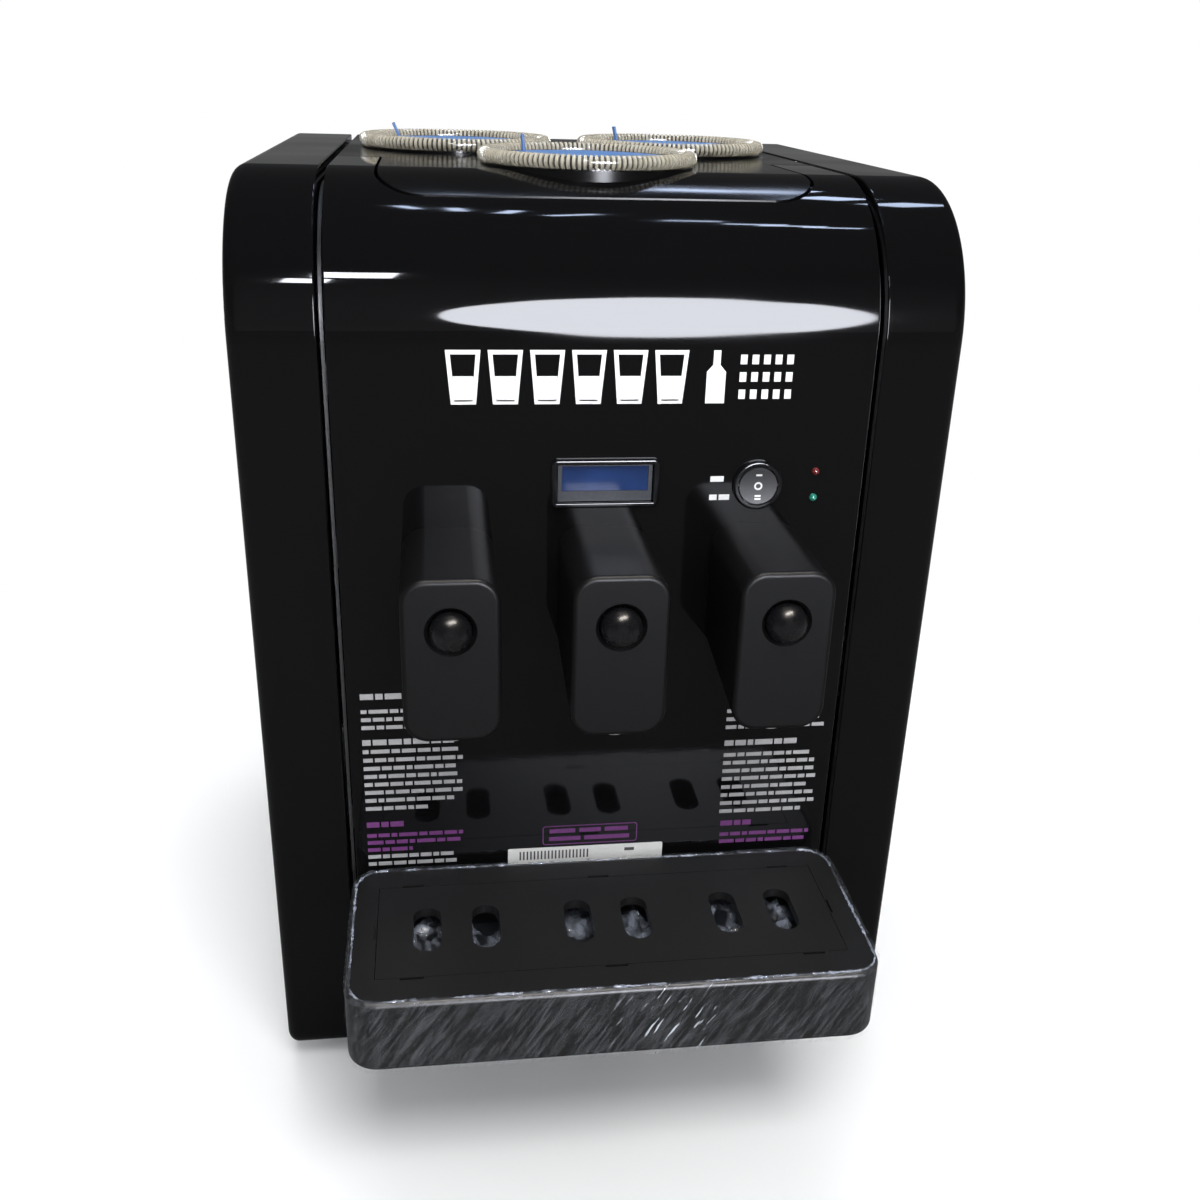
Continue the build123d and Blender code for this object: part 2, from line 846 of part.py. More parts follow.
receiver_top = neck_floor + receiver_height
barb_low = neck_floor - well_wall - barb_length
with BuildPart() as bottle_receivers:
    for bottle_x, bottle_y in bottle_places.values():
        with BuildSketch(Plane((bottle_x, bottle_y, 0), x_dir=(1, 0, 0), z_dir=(0, -1, 0))):
            with BuildLine():
                Polyline(
                    (barb_bore, receiver_top - cone_depth),
                    (neck_bore - cone_rim, receiver_top),
                    (neck_bore - fit_clearance, receiver_top),
                    (neck_bore - fit_clearance, neck_floor),
                    (barb_radius, neck_floor),
                    (barb_radius, barb_low),
                    (barb_bore, barb_low),
                    close=True,
                )
            make_face()
        revolve(axis=Axis((bottle_x, bottle_y, 0), (0, 0, 1)))
        with BuildSketch(Plane.XY.offset(neck_floor + spike_root)):
            with Locations((bottle_x + spike_offset, bottle_y)):
                Circle(spike_radius)
        extrude(amount=spike_height)
save(bottle_receivers.part, "bottle_receivers")

with BuildPart() as supply_hoses:
    for bottle_x, bottle_y in bottle_places.values():
        with BuildSketch(Plane.XY.offset(hose_low)):
            with Locations((bottle_x, bottle_y)):
                Circle(barb_radius + fit_clearance + hose_wall)
                Circle(barb_radius + fit_clearance, mode=Mode.SUBTRACT)
        extrude(amount=hose_top - hose_low)
save(supply_hoses.part, "supply_hoses")

# Chill block, evaporator coil and insulation

block_barb_top = hose_low + barb_length
with BuildPart() as chill_block:
    with BuildSketch(Plane.XY.offset(block_bottom)):
        with Locations((0, block_middle_y)):
            RectangleRounded(block_width, block_depth, block_corner)
    extrude(amount=block_height)
    with BuildSketch(Plane.XY.offset(block_top)):
        with Locations(*bottle_places.values()):
            Circle(barb_radius)
    extrude(amount=block_barb_top - block_top)
    with BuildSketch(facing(block_front_y)):
        with Locations(*[(x, line_height) for x in tap_places.values()]):
            Circle(barb_radius)
    extrude(amount=jacket_wall + tap_barb)
    with BuildSketch(Plane.XY.offset(block_barb_top)):
        with Locations(*bottle_places.values()):
            Circle(channel_radius)
    extrude(amount=line_height - block_barb_top, mode=Mode.SUBTRACT)
    for (bottle_x, bottle_y), tap_x in zip(bottle_places.values(), (0.0, -tap_spacing, tap_spacing)):
        with BuildSketch(facing(jacket_front_y - tap_barb)):
            with Locations((tap_x, line_height)):
                Circle(channel_radius)
        extrude(amount=-(bottle_y - jacket_front_y + tap_barb), mode=Mode.SUBTRACT)
        if tap_x != bottle_x:
            with BuildSketch(Plane.YZ.offset(tap_x)):
                with Locations((bottle_y, line_height)):
                    Circle(channel_radius)
            extrude(amount=bottle_x - tap_x, mode=Mode.SUBTRACT)
save(chill_block.part, "chill_block")

coil_z = block_bottom - coil_radius - seat_gap
coil_first = block_middle_y - coil_pitch * (coil_passes - 1) / 2
coil_last = coil_first + coil_pitch * (coil_passes - 1)
coil_exit = block_middle_y + block_depth / 2 + jacket_wall + tail_length
inlet_tail_x = -coil_half_run - tail_bend - tail_pitch
outlet_tail_x = -coil_half_run - tail_bend
with BuildPart() as evaporator_coil:
    with BuildLine() as coil_path:
        Line((inlet_tail_x, coil_exit, coil_z), (inlet_tail_x, coil_first + tail_bend, coil_z))
        quarter_turn(
            (inlet_tail_x, coil_first + tail_bend, coil_z),
            (inlet_tail_x + tail_bend, coil_first, coil_z),
            (inlet_tail_x + tail_bend, coil_first + tail_bend, coil_z),
        )
        Line((inlet_tail_x + tail_bend, coil_first, coil_z), (-coil_half_run, coil_first, coil_z))
        for turn in range(coil_passes):
            row = coil_first + coil_pitch * turn
            heading = 1 if turn % 2 == 0 else -1
            Line((-heading * coil_half_run, row, coil_z), (heading * coil_half_run, row, coil_z))
            if turn < coil_passes - 1:
                ThreePointArc(
                    (heading * coil_half_run, row, coil_z),
                    (heading * (coil_half_run + coil_pitch / 2), row + coil_pitch / 2, coil_z),
                    (heading * coil_half_run, row + coil_pitch, coil_z),
                )
        quarter_turn(
            (-coil_half_run, coil_last, coil_z),
            (outlet_tail_x, coil_last + tail_bend, coil_z),
            (-coil_half_run, coil_last + tail_bend, coil_z),
        )
        Line((outlet_tail_x, coil_last + tail_bend, coil_z), (outlet_tail_x, coil_exit, coil_z))
    with BuildSketch(facing(coil_exit)):
        with Locations((inlet_tail_x, coil_z)):
            Circle(coil_radius)
    sweep(path=coil_path.wire())
save(evaporator_coil.part, "evaporator_coil")

jacket_width = block_width + 2 * jacket_wall
jacket_depth = block_depth + 2 * jacket_wall
with BuildPart() as insulation_jacket:
    with BuildSketch(Plane.XY.offset(jacket_bottom)):
        with Locations((0, block_middle_y)):
            RectangleRounded(jacket_width, jacket_depth, jacket_corner)
    extrude(amount=block_top - jacket_bottom)
    with BuildSketch(Plane.XY.offset(jacket_bottom + jacket_floor)):
        with Locations((0, block_middle_y)):
            RectangleRounded(block_width + 2 * seat_gap, block_depth + 2 * seat_gap, block_corner)
    extrude(amount=block_height + 2 * coil_space, mode=Mode.SUBTRACT)
    with BuildSketch(facing(jacket_front_y)):
        with Locations(*[(x, line_height) for x in tap_places.values()]):
            Circle(barb_radius + seat_gap)
    extrude(amount=-2 * jacket_wall, mode=Mode.SUBTRACT)
    with BuildSketch(facing(coil_exit)):
        with Locations((inlet_tail_x, coil_z), (outlet_tail_x, coil_z)):
            Circle(coil_radius + seat_gap)
    extrude(amount=jacket_wall + tail_length + block_corner, mode=Mode.SUBTRACT)
save(insulation_jacket.part, "insulation_jacket")

with BuildPart() as insulation_lid:
    with BuildSketch(Plane.XY.offset(block_top)):
        with Locations((0, block_middle_y)):
            RectangleRounded(jacket_width, jacket_depth, jacket_corner)
        with Locations(*bottle_places.values()):
            Circle(barb_radius + seat_gap, mode=Mode.SUBTRACT)
    extrude(amount=jacket_lid)
save(insulation_lid.part, "insulation_lid")

# Solenoid valves, taps and push buttons

valve_back = jacket_front_y - seat_gap
valve_front = front_y + valve_body_front
valve_middle = (valve_back + valve_front) / 2
with BuildPart() as solenoid_valves:
    for tap_x in tap_places.values():
        with BuildSketch(facing(valve_back)):
            with Locations((tap_x, line_height)):
                Circle(valve_collar)
        extrude(amount=valve_back - front_y - valve_mouth)
        with Locations((tap_x, valve_middle, line_height)):
            Box(valve_width, valve_length, valve_height)
        with BuildSketch(Plane.XY.offset(line_height + valve_height / 2)):
            with Locations((tap_x, valve_middle)):
                Circle(valve_coil_radius)
                Rectangle(valve_coil_radius, 2 * valve_coil_radius + valve_yoke)
        extrude(amount=valve_coil_height)
        with BuildSketch(facing(valve_back)):
            with Locations((tap_x, line_height)):
                Circle(barb_radius + fit_clearance)
        extrude(amount=tap_barb + seat_gap, mode=Mode.SUBTRACT)
        with BuildSketch(facing(front_y + valve_mouth)):
            with Locations((tap_x, line_height)):
                Circle(spout_radius + fit_clearance)
        extrude(amount=-valve_socket, mode=Mode.SUBTRACT)
        with BuildSketch(facing(valve_back)):
            with Locations((tap_x, line_height)):
                Circle(channel_radius)
        extrude(amount=valve_back - front_y - valve_mouth, mode=Mode.SUBTRACT)
save(solenoid_valves.part, "solenoid_valves")

tube_end_y = front_y + valve_mouth + spout_insertion
with BuildPart() as tap_nozzles:
    for tap_x in tap_places.values():
        with BuildLine() as tube_path:
            Line((tap_x, tube_end_y, line_height), (tap_x, spout_y + spout_bend, line_height))
            ThreePointArc(
                (tap_x, spout_y + spout_bend, line_height),
                (tap_x, spout_y + spout_bend * (1 - math.sin(math.pi / 4)),
                 line_height - spout_bend * (1 - math.cos(math.pi / 4))),
                (tap_x, spout_y, line_height - spout_bend),
            )
            Line((tap_x, spout_y, line_height - spout_bend), (tap_x, spout_y, spout_tip))
        with BuildSketch(facing(tube_end_y)):
            with Locations((tap_x, line_height)):
                Circle(spout_radius)
                Circle(spout_radius - spout_wall, mode=Mode.SUBTRACT)
        sweep(path=tube_path.wire())
        with BuildSketch(facing(inner_front + nut_height)):
            with Locations((tap_x, line_height)):
                RegularPolygon(nut_radius, 6)
                Circle(spout_radius, mode=Mode.SUBTRACT)
        extrude(amount=nut_height)
        with BuildSketch(facing(front_y)):
            with Locations((tap_x, line_height)):
                Circle(nut_radius)
                Circle(spout_radius, mode=Mode.SUBTRACT)
        extrude(amount=washer_thickness)
        with BuildSketch(Plane.XY.offset(spout_tip)):
            with Locations((tap_x, spout_y)):
                Circle(spout_radius + spout_collar)
                Circle(spout_radius, mode=Mode.SUBTRACT)
        extrude(amount=spout_collar_height)
save(tap_nozzles.part, "tap_nozzles")

shelf_top = button_height - switch_thickness / 2 - seat_gap
stem_end = tap_face + stem_length
switch_front = stem_end + button_travel + seat_gap
for place, tap_x in tap_places.items():
    with BuildPart() as tap_housing:
        with BuildSketch(facing(tap_face)):
            with Locations((tap_x, (tap_top + tap_bottom) / 2)):
                RectangleRounded(tap_width, tap_top - tap_bottom, tap_corner)
        with BuildSketch(facing(front_y)):
            with Locations((tap_x, (tap_top + tap_bottom + tap_rise) / 2)):
                RectangleRounded(tap_width, tap_top - tap_bottom - tap_rise, tap_corner)
        loft()
        fillet(tap_housing.faces().sort_by(Axis.Y)[0].edges(), radius=tap_edge_radius)
        with BuildSketch(facing(tap_face + tap_wall)):
            with Locations((tap_x, (tap_top + tap_bottom) / 2)):
                RectangleRounded(tap_width - 2 * tap_wall, tap_top - tap_bottom - 2 * tap_wall,
                                 tap_corner - tap_wall)
        with BuildSketch(facing(front_y)):
            with Locations((tap_x, (tap_top + tap_bottom + tap_rise) / 2)):
                RectangleRounded(tap_width - 2 * tap_wall, tap_top - tap_bottom - tap_rise - 2 * tap_wall,
                                 tap_corner - tap_wall)
        loft(mode=Mode.SUBTRACT)
        with BuildSketch(Plane.XY.offset(line_height - spout_bend)):
            with Locations((tap_x, spout_y)):
                Circle(spout_radius + spout_opening)
        extrude(amount=-spout_bend - tap_wall - tap_corner, mode=Mode.SUBTRACT)
        with BuildSketch(facing(tap_face + tap_wall)):
            with Locations((tap_x, button_height)):
                Circle(pocket_radius + pocket_wall)
        extrude(amount=-(pocket_depth + pocket_wall - tap_wall))
        with BuildSketch(facing(tap_face)):
            with Locations((tap_x, button_height)):
                Circle(pocket_radius)
        extrude(amount=-pocket_depth, mode=Mode.SUBTRACT)
        with BuildSketch(facing(tap_face)):
            with Locations((tap_x, button_height)):
                Circle(stem_radius + fit_clearance)
        extrude(amount=-(pocket_depth + pocket_wall), mode=Mode.SUBTRACT)
        pocket_rim = tap_housing.faces().sort_by(Axis.Y)[0].edges().filter_by(GeomType.CIRCLE).sort_by(
            lambda e: (Vector(tap_x, tap_face, button_height) - e.arc_center).length)[0]
        chamfer(pocket_rim, length=pocket_chamfer)
        with BuildSketch(Plane.XY.offset(shelf_top)):
            with Locations((tap_x, switch_front - shelf_overlap / 2)):
                Rectangle(tap_width - tap_wall, switch_depth + shelf_overlap, align=(Align.CENTER, Align.MIN))
        extrude(amount=-shelf_thickness)
    save(tap_housing.part, f"tap_housing_{place}")

    with BuildPart() as push_button:
        with BuildSketch(Plane((tap_x, tap_face, button_height), x_dir=(1, 0, 0), z_dir=(0, 0, 1))):
            with BuildLine():
                CenterArc((0, 0), ball_radius, 270, 90)
                Polyline(
                    (ball_radius, 0),
                    (ball_radius, cap_back),
                    (stem_radius, cap_back),
                    (stem_radius, stem_length),
                    (0, stem_length),
                    (0, -ball_radius),
                )
            make_face()
        revolve(axis=Axis((tap_x, tap_face, button_height), (0, 1, 0)))
        with BuildSketch(facing(tap_face + pocket_depth + pocket_wall + seat_gap + stem_collar_thickness)):
            with Locations((tap_x, button_height)):
                Circle(stem_radius + stem_collar)
        extrude(amount=stem_collar_thickness)
    save(push_button.part, f"push_button_{place}")

    spring_start = tap_face + cap_back + spring_wire / 2 + spring_end_gap
    spring_length = pocket_depth - cap_back - spring_wire - 2 * spring_end_gap
    with BuildPart() as button_spring:
        with BuildLine() as spring_path:
            Helix(
                pitch=spring_length / spring_turns,
                height=spring_length,
                radius=spring_radius,
                center=(tap_x, spring_start, button_height),
                direction=(0, 1, 0),
            )
        with BuildSketch(Plane(spring_path.line @ 0, z_dir=spring_path.line % 0)):
            Circle(spring_wire / 2)
        sweep(path=spring_path.line, is_frenet=True)
    save(button_spring.part, f"button_spring_{place}")

with BuildPart() as button_switches:
    for tap_x in tap_places.values():
        with Locations((tap_x, switch_front, button_height)):
            Box(switch_length, switch_depth, switch_thickness, align=(Align.CENTER, Align.MIN, Align.CENTER))
        with BuildSketch(facing(switch_front + switch_depth)):
            with Locations((tap_x, button_height)):
                with GridLocations(terminal_pitch, 0, 3, 1):
                    Rectangle(terminal_width, terminal_thickness)
        extrude(amount=-terminal_length)
save(button_switches.part, "button_switches")

# Display, mode switch, lamps and control board

with BuildPart() as display_bezel:
    with BuildSketch(facing(front_y)):
        with Locations((0, display_height)):
            RectangleRounded(display_width, display_tall, display_corner)
    extrude(amount=display_proud)
    fillet(display_bezel.faces().sort_by(Axis.Y)[0].edges(), radius=display_edge_radius)
    with BuildSketch(facing(front_y)):
        with Locations((0, display_height)):
            RectangleRounded(window_width - 2 * fit_clearance, window_tall - 2 * fit_clearance, display_rim)
    extrude(amount=-(cover_wall + display_tail))
    with BuildSketch(facing(front_y - display_proud)):
        with Locations((0, display_height)):
            Rectangle(frame_width - 2 * frame_clearance, frame_tall - 2 * frame_clearance)
    extrude(amount=-(display_proud + cover_wall + 2 * display_tail), mode=Mode.SUBTRACT)
    fillet(display_bezel.faces().sort_by(Axis.Y)[0].inner_wires()[0].edges(), radius=display_inner_radius)
save(display_bezel.part, "display_bezel")

module_front = front_y + module_set_in
module_width = frame_width - 4 * frame_clearance
module_tall = frame_tall - 4 * frame_clearance
with BuildPart() as display_module:
    with BuildSketch(facing(module_front)):
        with Locations((0, display_height)):
            Rectangle(module_width, module_tall)
        with Locations((0, display_height + glass_rise)):
            Rectangle(glass_width + 2 * glass_clearance, glass_tall + 2 * glass_clearance, mode=Mode.SUBTRACT)
    extrude(amount=-module_front_depth)
    with BuildSketch(facing(module_front + module_front_depth)):
        with Locations((0, display_height)):
            Rectangle(module_width, module_tall)
    extrude(amount=module_front_depth - module_depth)
save(display_module.part, "display_module")

with BuildPart() as display_glass:
    with BuildSketch(facing(module_front + glass_set_in)):
        with Locations((0, display_height + glass_rise)):
            Rectangle(glass_width, glass_tall)
    extrude(amount=-glass_thickness)
save(display_glass.part, "display_glass")

pivot_y = front_y - switch_proud - rocker_proud + rocker_thickness / 2
cavity_radius = rocker_radius + rocker_clearance
cavity_depth = switch_proud + rocker_thickness / 2 + rocker_cavity
with BuildPart() as switch_bezel:
    with BuildSketch(facing(front_y)):
        with Locations((switch_x, switch_z)):
            Circle(switch_flange)
    extrude(amount=switch_proud)
    fillet(switch_bezel.faces().sort_by(Axis.Y)[0].edges(), radius=switch_edge_radius)
    with BuildSketch(facing(front_y)):
        with Locations((switch_x, switch_z)):
            Circle(switch_body)
    extrude(amount=-switch_body_depth)
    with BuildSketch(facing(front_y - switch_proud)):
        with Locations((switch_x, switch_z)):
            Circle(cavity_radius)
    extrude(amount=-cavity_depth, mode=Mode.SUBTRACT)
    with BuildSketch(Plane.YZ.offset(switch_x - cavity_radius - pin_seat)):
        with Locations((pivot_y, switch_z)):
            Circle(pivot_radius + fit_clearance)
    extrude(amount=2 * (cavity_radius + pin_seat), mode=Mode.SUBTRACT)
    with BuildSketch(facing(front_y + switch_body_depth)):
        with Locations((switch_x, switch_z)):
            with GridLocations(blade_pitch_x, blade_pitch_z, 2, 3):
                Rectangle(blade_width, blade_height)
    extrude(amount=-blade_length)
save(switch_bezel.part, "switch_bezel")

with BuildPart() as switch_rocker:
    with BuildSketch(facing(pivot_y + rocker_thickness / 2)):
        with Locations((switch_x, switch_z)):
            Circle(rocker_radius)
    extrude(amount=rocker_thickness)
    fillet(switch_rocker.faces().sort_by(Axis.Y)[0].edges(), radius=rocker_edge_radius)
    dish_radius = (rocker_radius ** 2 + rocker_dish ** 2) / (2 * rocker_dish)
    with BuildSketch(Plane.YZ.offset(switch_x - rocker_radius)):
        with Locations((pivot_y - rocker_thickness / 2 + rocker_dish - dish_radius, switch_z)):
            Circle(dish_radius)
    extrude(amount=2 * rocker_radius, mode=Mode.SUBTRACT)
    pin_half = cavity_radius + pin_seat - pin_end_gap
    with BuildSketch(Plane.YZ.offset(switch_x - pin_half)):
        with Locations((pivot_y, switch_z)):
            Circle(pivot_radius)
    extrude(amount=2 * pin_half)
save(switch_rocker.part, "switch_rocker")

for lamp_name, lamp_z in (("red_lamp", red_lamp_z), ("green_lamp", green_lamp_z)):
    with BuildPart() as lamp:
        with BuildSketch(Plane((lamp_x, front_y, lamp_z), x_dir=(1, 0, 0), z_dir=(0, 0, 1))):
            with BuildLine():
                CenterArc((0, 0), lamp_radius, 270, 90)
                Polyline(
                    (lamp_radius, 0),
                    (lamp_radius, cover_wall + lamp_seat),
                    (lamp_radius + lamp_collar, cover_wall + lamp_seat),
                    (lamp_radius + lamp_collar, cover_wall + lamp_tail),
                    (0, cover_wall + lamp_tail),
                    (0, -lamp_radius),
                )
            make_face()
        revolve(axis=Axis((lamp_x, front_y, lamp_z), (0, 1, 0)))
    save(lamp.part, lamp_name)

board_front = module_front + module_depth + board_gap
board_back = board_front + board_thickness
board_z = display_height + board_rise
with BuildPart() as control_board:
    with BuildSketch(facing(board_front)):
        with Locations((board_x, board_z)):
            Rectangle(board_width, board_tall)
    extrude(amount=-board_thickness)
    with BuildSketch(facing(board_back)):
        with Locations((board_x - board_width / 3, board_z)):
            Rectangle(*relay_block)
        with Locations((board_x, board_z + board_tall / 4)):
            Rectangle(*chip)
        with Locations((board_x + board_width / 4, board_z + board_tall / 4)):
            Rectangle(*connector)
    extrude(amount=-component_height)
    with BuildSketch(facing(board_back)):
        with Locations((board_x, board_z - board_tall / 4)):
            with GridLocations(3 * capacitor_radius, 0, 2, 1):
                Circle(capacitor_radius)
    extrude(amount=-capacitor_height)
    with BuildSketch(facing(board_front)):
        with Locations((board_x, board_z)):
            with GridLocations(board_width - 2 * board_post_inset, board_tall - 2 * board_post_inset, 2, 2):
                Circle(board_post_radius)
    extrude(amount=board_front - inner_front)
save(control_board.part, "control_board")

# Drip tray and grid

tray_bottom = tray_top - tray_height
with BuildPart() as drip_tray:
    with BuildSketch(Plane.XY.offset(tray_bottom)):
        with Locations((0, tray_middle)):
            RectangleRounded(tray_width, tray_depth, tray_corner)
    extrude(amount=tray_height)
    fillet(drip_tray.faces().sort_by(Axis.Z)[-1].edges(), radius=tray_edge_radius)
    fillet(drip_tray.faces().sort_by(Axis.Z)[0].edges(), radius=tray_edge_radius)
    with BuildSketch(Plane.XY.offset(tray_bottom + tray_wall)):
        with Locations((0, tray_middle)):
            RectangleRounded(tray_width - 2 * tray_wall, tray_depth - 2 * tray_wall, tray_corner - tray_wall)
    extrude(amount=tray_height - 2 * tray_wall - grid_thickness, mode=Mode.SUBTRACT)
    with BuildSketch(Plane.XY.offset(tray_top)):
        with Locations((0, grid_y)):
            Rectangle(grid_width + 2 * grid_gap, grid_depth + 2 * grid_gap)
    extrude(amount=-grid_thickness - seat_gap, mode=Mode.SUBTRACT)
    with BuildSketch(Plane.XY.offset(tray_top)):
        with Locations((0, grid_y)):
            Rectangle(grid_width - 2 * grid_ledge, grid_depth - 2 * grid_ledge)
    extrude(amount=-tray_height / 2, mode=Mode.SUBTRACT)
    with BuildSketch(Plane.XY.offset(tray_top)):
        with Locations((0, grid_y)):
            with GridLocations(notch_side, grid_depth + notch_width, 3, 2):
                Rectangle(notch_length, notch_width)
        with Locations(*[(s * (grid_width / 2 + notch_width / 2), grid_y) for s in (-1, 1)]):
            Rectangle(notch_width, notch_length)
    extrude(amount=-notch_depth, mode=Mode.SUBTRACT)
    with BuildSketch(facing(tray_rear)):
        with Locations((-tongue_place, tongue_z), (tongue_place, tongue_z)):
            Rectangle(tongue_width, tongue_thickness)
    extrude(amount=-tongue_length)
save(drip_tray.part, "drip_tray")

with BuildPart() as drip_grid:
    with BuildSketch(Plane.XY.offset(tray_top - grid_thickness)):
        with Locations((0, grid_y)):
            Rectangle(grid_width, grid_depth)
    extrude(amount=grid_thickness)
    slot_places = [(x + s * slot_offset, grid_y) for x in tap_places.values() for s in (-1, 1)]
    with BuildSketch(Plane.XY.offset(tray_top - grid_thickness - slot_rim_drop)):
        with Locations(*slot_places):
            SlotOverall(slot_length + 2 * slot_rim, slot_width + 2 * slot_rim, rotation=90)
    extrude(amount=slot_rim_drop)
    with BuildSketch(Plane.XY.offset(tray_top)):
        with Locations(*slot_places):
            SlotOverall(slot_length, slot_width, rotation=90)
    extrude(amount=-grid_thickness - slot_rim_drop, mode=Mode.SUBTRACT)
save(drip_grid.part, "drip_grid")

sleeve_front = inner_front + bracket_gap
with BuildPart() as tray_brackets:
    for side in (-1, 1):
        with BuildSketch(facing(sleeve_front)):
            with Locations((side * tongue_place, tongue_z)):
                Rectangle(tongue_width + 2 * bracket_flange_x, tongue_thickness + 2 * bracket_flange_z)
        extrude(amount=-sheet)
        with BuildSketch(facing(sleeve_front + sheet)):
            with Locations((side * tongue_place, tongue_z)):
                Rectangle(sleeve_width + 2 * sheet, sleeve_height + 2 * sheet)
        extrude(amount=-(tongue_length - tray_gap))
        with BuildSketch(facing(sleeve_front)):
            with Locations((side * tongue_place, tongue_z)):
                Rectangle(sleeve_width, sleeve_height)
        extrude(amount=-(tongue_length - tray_gap), mode=Mode.SUBTRACT)
save(tray_brackets.part, "tray_brackets")

# Compressor, condenser and fan

with BuildPart() as compressor:
    with BuildSketch(Plane.XY.offset(compressor_low)):
        with Locations((compressor_x, compressor_y)):
            Ellipse(compressor_half_length, compressor_half_width)
    extrude(amount=compressor_height)
    fillet(compressor.faces().sort_by(Axis.Z)[-1].edges(), radius=compressor_top_radius)
    fillet(compressor.faces().sort_by(Axis.Z)[0].edges(), radius=compressor_foot_radius)
    with BuildSketch(Plane.XY.offset(compressor_low + compressor_height * weld_place)):
        with Locations((compressor_x, compressor_y)):
            Ellipse(compressor_half_length + weld_rim, compressor_half_width + weld_rim)
    extrude(amount=weld_rim)
    with BuildSketch(Plane.XY.offset(floor_z + grommet_height)):
        with Locations((compressor_x, compressor_y)):
            RectangleRounded(foot_plate_length, foot_plate_width, foot_plate_inset)
            with GridLocations(2 * grommet_x, 2 * grommet_y, 2, 2):
                Circle(grommet_stem, mode=Mode.SUBTRACT)
    extrude(amount=foot_plate_thickness)
    with BuildSketch(Plane.XY.offset(floor_z + grommet_height + foot_plate_thickness)):
        with Locations((compressor_x, compressor_y)):
            Rectangle(cradle_length, cradle_width)
    extrude(amount=cradle_height)
    with BuildSketch(Plane.XY.offset(compressor_low + compressor_height - 1)):
        with Locations((compressor_x - stub_place, compressor_y), (compressor_x + stub_place, compressor_y)):
            Circle(line_radius + stub_wall)
    extrude(amount=1 + stub_height)
save(compressor.part, "compressor")

with BuildPart() as compressor_grommets:
    with BuildSketch(Plane.XY.offset(floor_z)):
        with Locations((compressor_x, compressor_y)):
            with GridLocations(2 * grommet_x, 2 * grommet_y, 2, 2):
                Circle(grommet_radius)
    extrude(amount=grommet_height)
    with BuildSketch(Plane.XY.offset(floor_z)):
        with Locations((compressor_x, compressor_y)):
            with GridLocations(2 * grommet_x, 2 * grommet_y, 2, 2):
                Circle(grommet_stem - fit_clearance)
    extrude(amount=grommet_height + stem_height)
save(compressor_grommets.part, "compressor_grommets")

relay_x = compressor_x + compressor_half_length + weld_rim + seat_gap
with BuildPart() as start_relay:
    with Locations((relay_x, compressor_y, compressor_low + compressor_height * weld_place)):
        Box(*relay_size, align=(Align.MIN, Align.CENTER, Align.CENTER))
    fillet(start_relay.edges().filter_by(Axis.Z), radius=relay_corner)
save(start_relay.part, "start_relay")

condenser_rise = coil_pitch * (condenser_passes - 1)
fin_tall = condenser_rise + 2 * fin_overlap
fin_span = fin_spacing * (condenser_fins - 1)
condenser_mid_z = condenser_low + fin_tall / 2
with BuildPart() as condenser:
    with BuildLine() as condenser_path:
        for turn in range(condenser_passes):
            row = condenser_mid_z - condenser_rise / 2 + coil_pitch * turn
            heading = 1 if turn % 2 == 0 else -1
            reach = heading * (fin_span / 2 + tube_overhang)
            Line((-reach, condenser_y, row), (reach, condenser_y, row))
            if turn < condenser_passes - 1:
                ThreePointArc(
                    (reach, condenser_y, row),
                    (reach + heading * coil_pitch / 2, condenser_y, row + coil_pitch / 2),
                    (reach, condenser_y, row + coil_pitch),
                )
    with BuildSketch(Plane.YZ.offset(-fin_span / 2 - tube_overhang)):
        with Locations((condenser_y, condenser_mid_z - condenser_rise / 2)):
            Circle(coil_radius)
    sweep(path=condenser_path.wire())
    for fin in range(condenser_fins):
        with BuildSketch(Plane.YZ.offset(-fin_span / 2 + fin_spacing * fin - fin_thickness / 2)):
            with Locations((condenser_y, condenser_mid_z)):
                Rectangle(condenser_depth, fin_tall)
        extrude(amount=fin_thickness)
    for side in (-1, 1):
        with BuildSketch(Plane.YZ.offset(side * (fin_span / 2 + end_plate_gap))):
            with Locations((condenser_y, floor_z)):
                Rectangle(condenser_depth + 2 * end_plate_extra, condenser_low + fin_tall - floor_z,
                          align=(Align.CENTER, Align.MIN))
        extrude(amount=side * sheet)
save(condenser.part, "condenser")

fan_z = condenser_mid_z
shroud_y = condenser_y - condenser_depth / 2 - end_plate_extra - seat_gap
duct_radius = fan_radius + fan_tip_gap
rotor_y = shroud_y - rotor_setback
motor_y = rotor_y - fan_depth / 2 - spider_gap
with BuildPart() as fan_shroud:
    with BuildSketch(facing(shroud_y)):
        with Locations((0, fan_z)):
            RectangleRounded(fin_span + 2 * shroud_overhang, fin_tall, shroud_corner)
            Circle(duct_radius, mode=Mode.SUBTRACT)
    extrude(amount=sheet)
    with BuildSketch(facing(shroud_y)):
        with Locations((0, fan_z)):
            Circle(duct_radius + duct_wall)
            Circle(duct_radius, mode=Mode.SUBTRACT)
    extrude(amount=shroud_y - motor_y)
    with BuildSketch(facing(motor_y)):
        with Locations((0, fan_z)):
            Circle(motor_radius + spider_rim)
            with PolarLocations(0, 3, start_angle=90):
                Rectangle(duct_radius + duct_wall / 2, spider_arm, align=(Align.MIN, Align.CENTER))
            Circle(spider_hole, mode=Mode.SUBTRACT)
    extrude(amount=-spider_thickness)
save(fan_shroud.part, "fan_shroud")

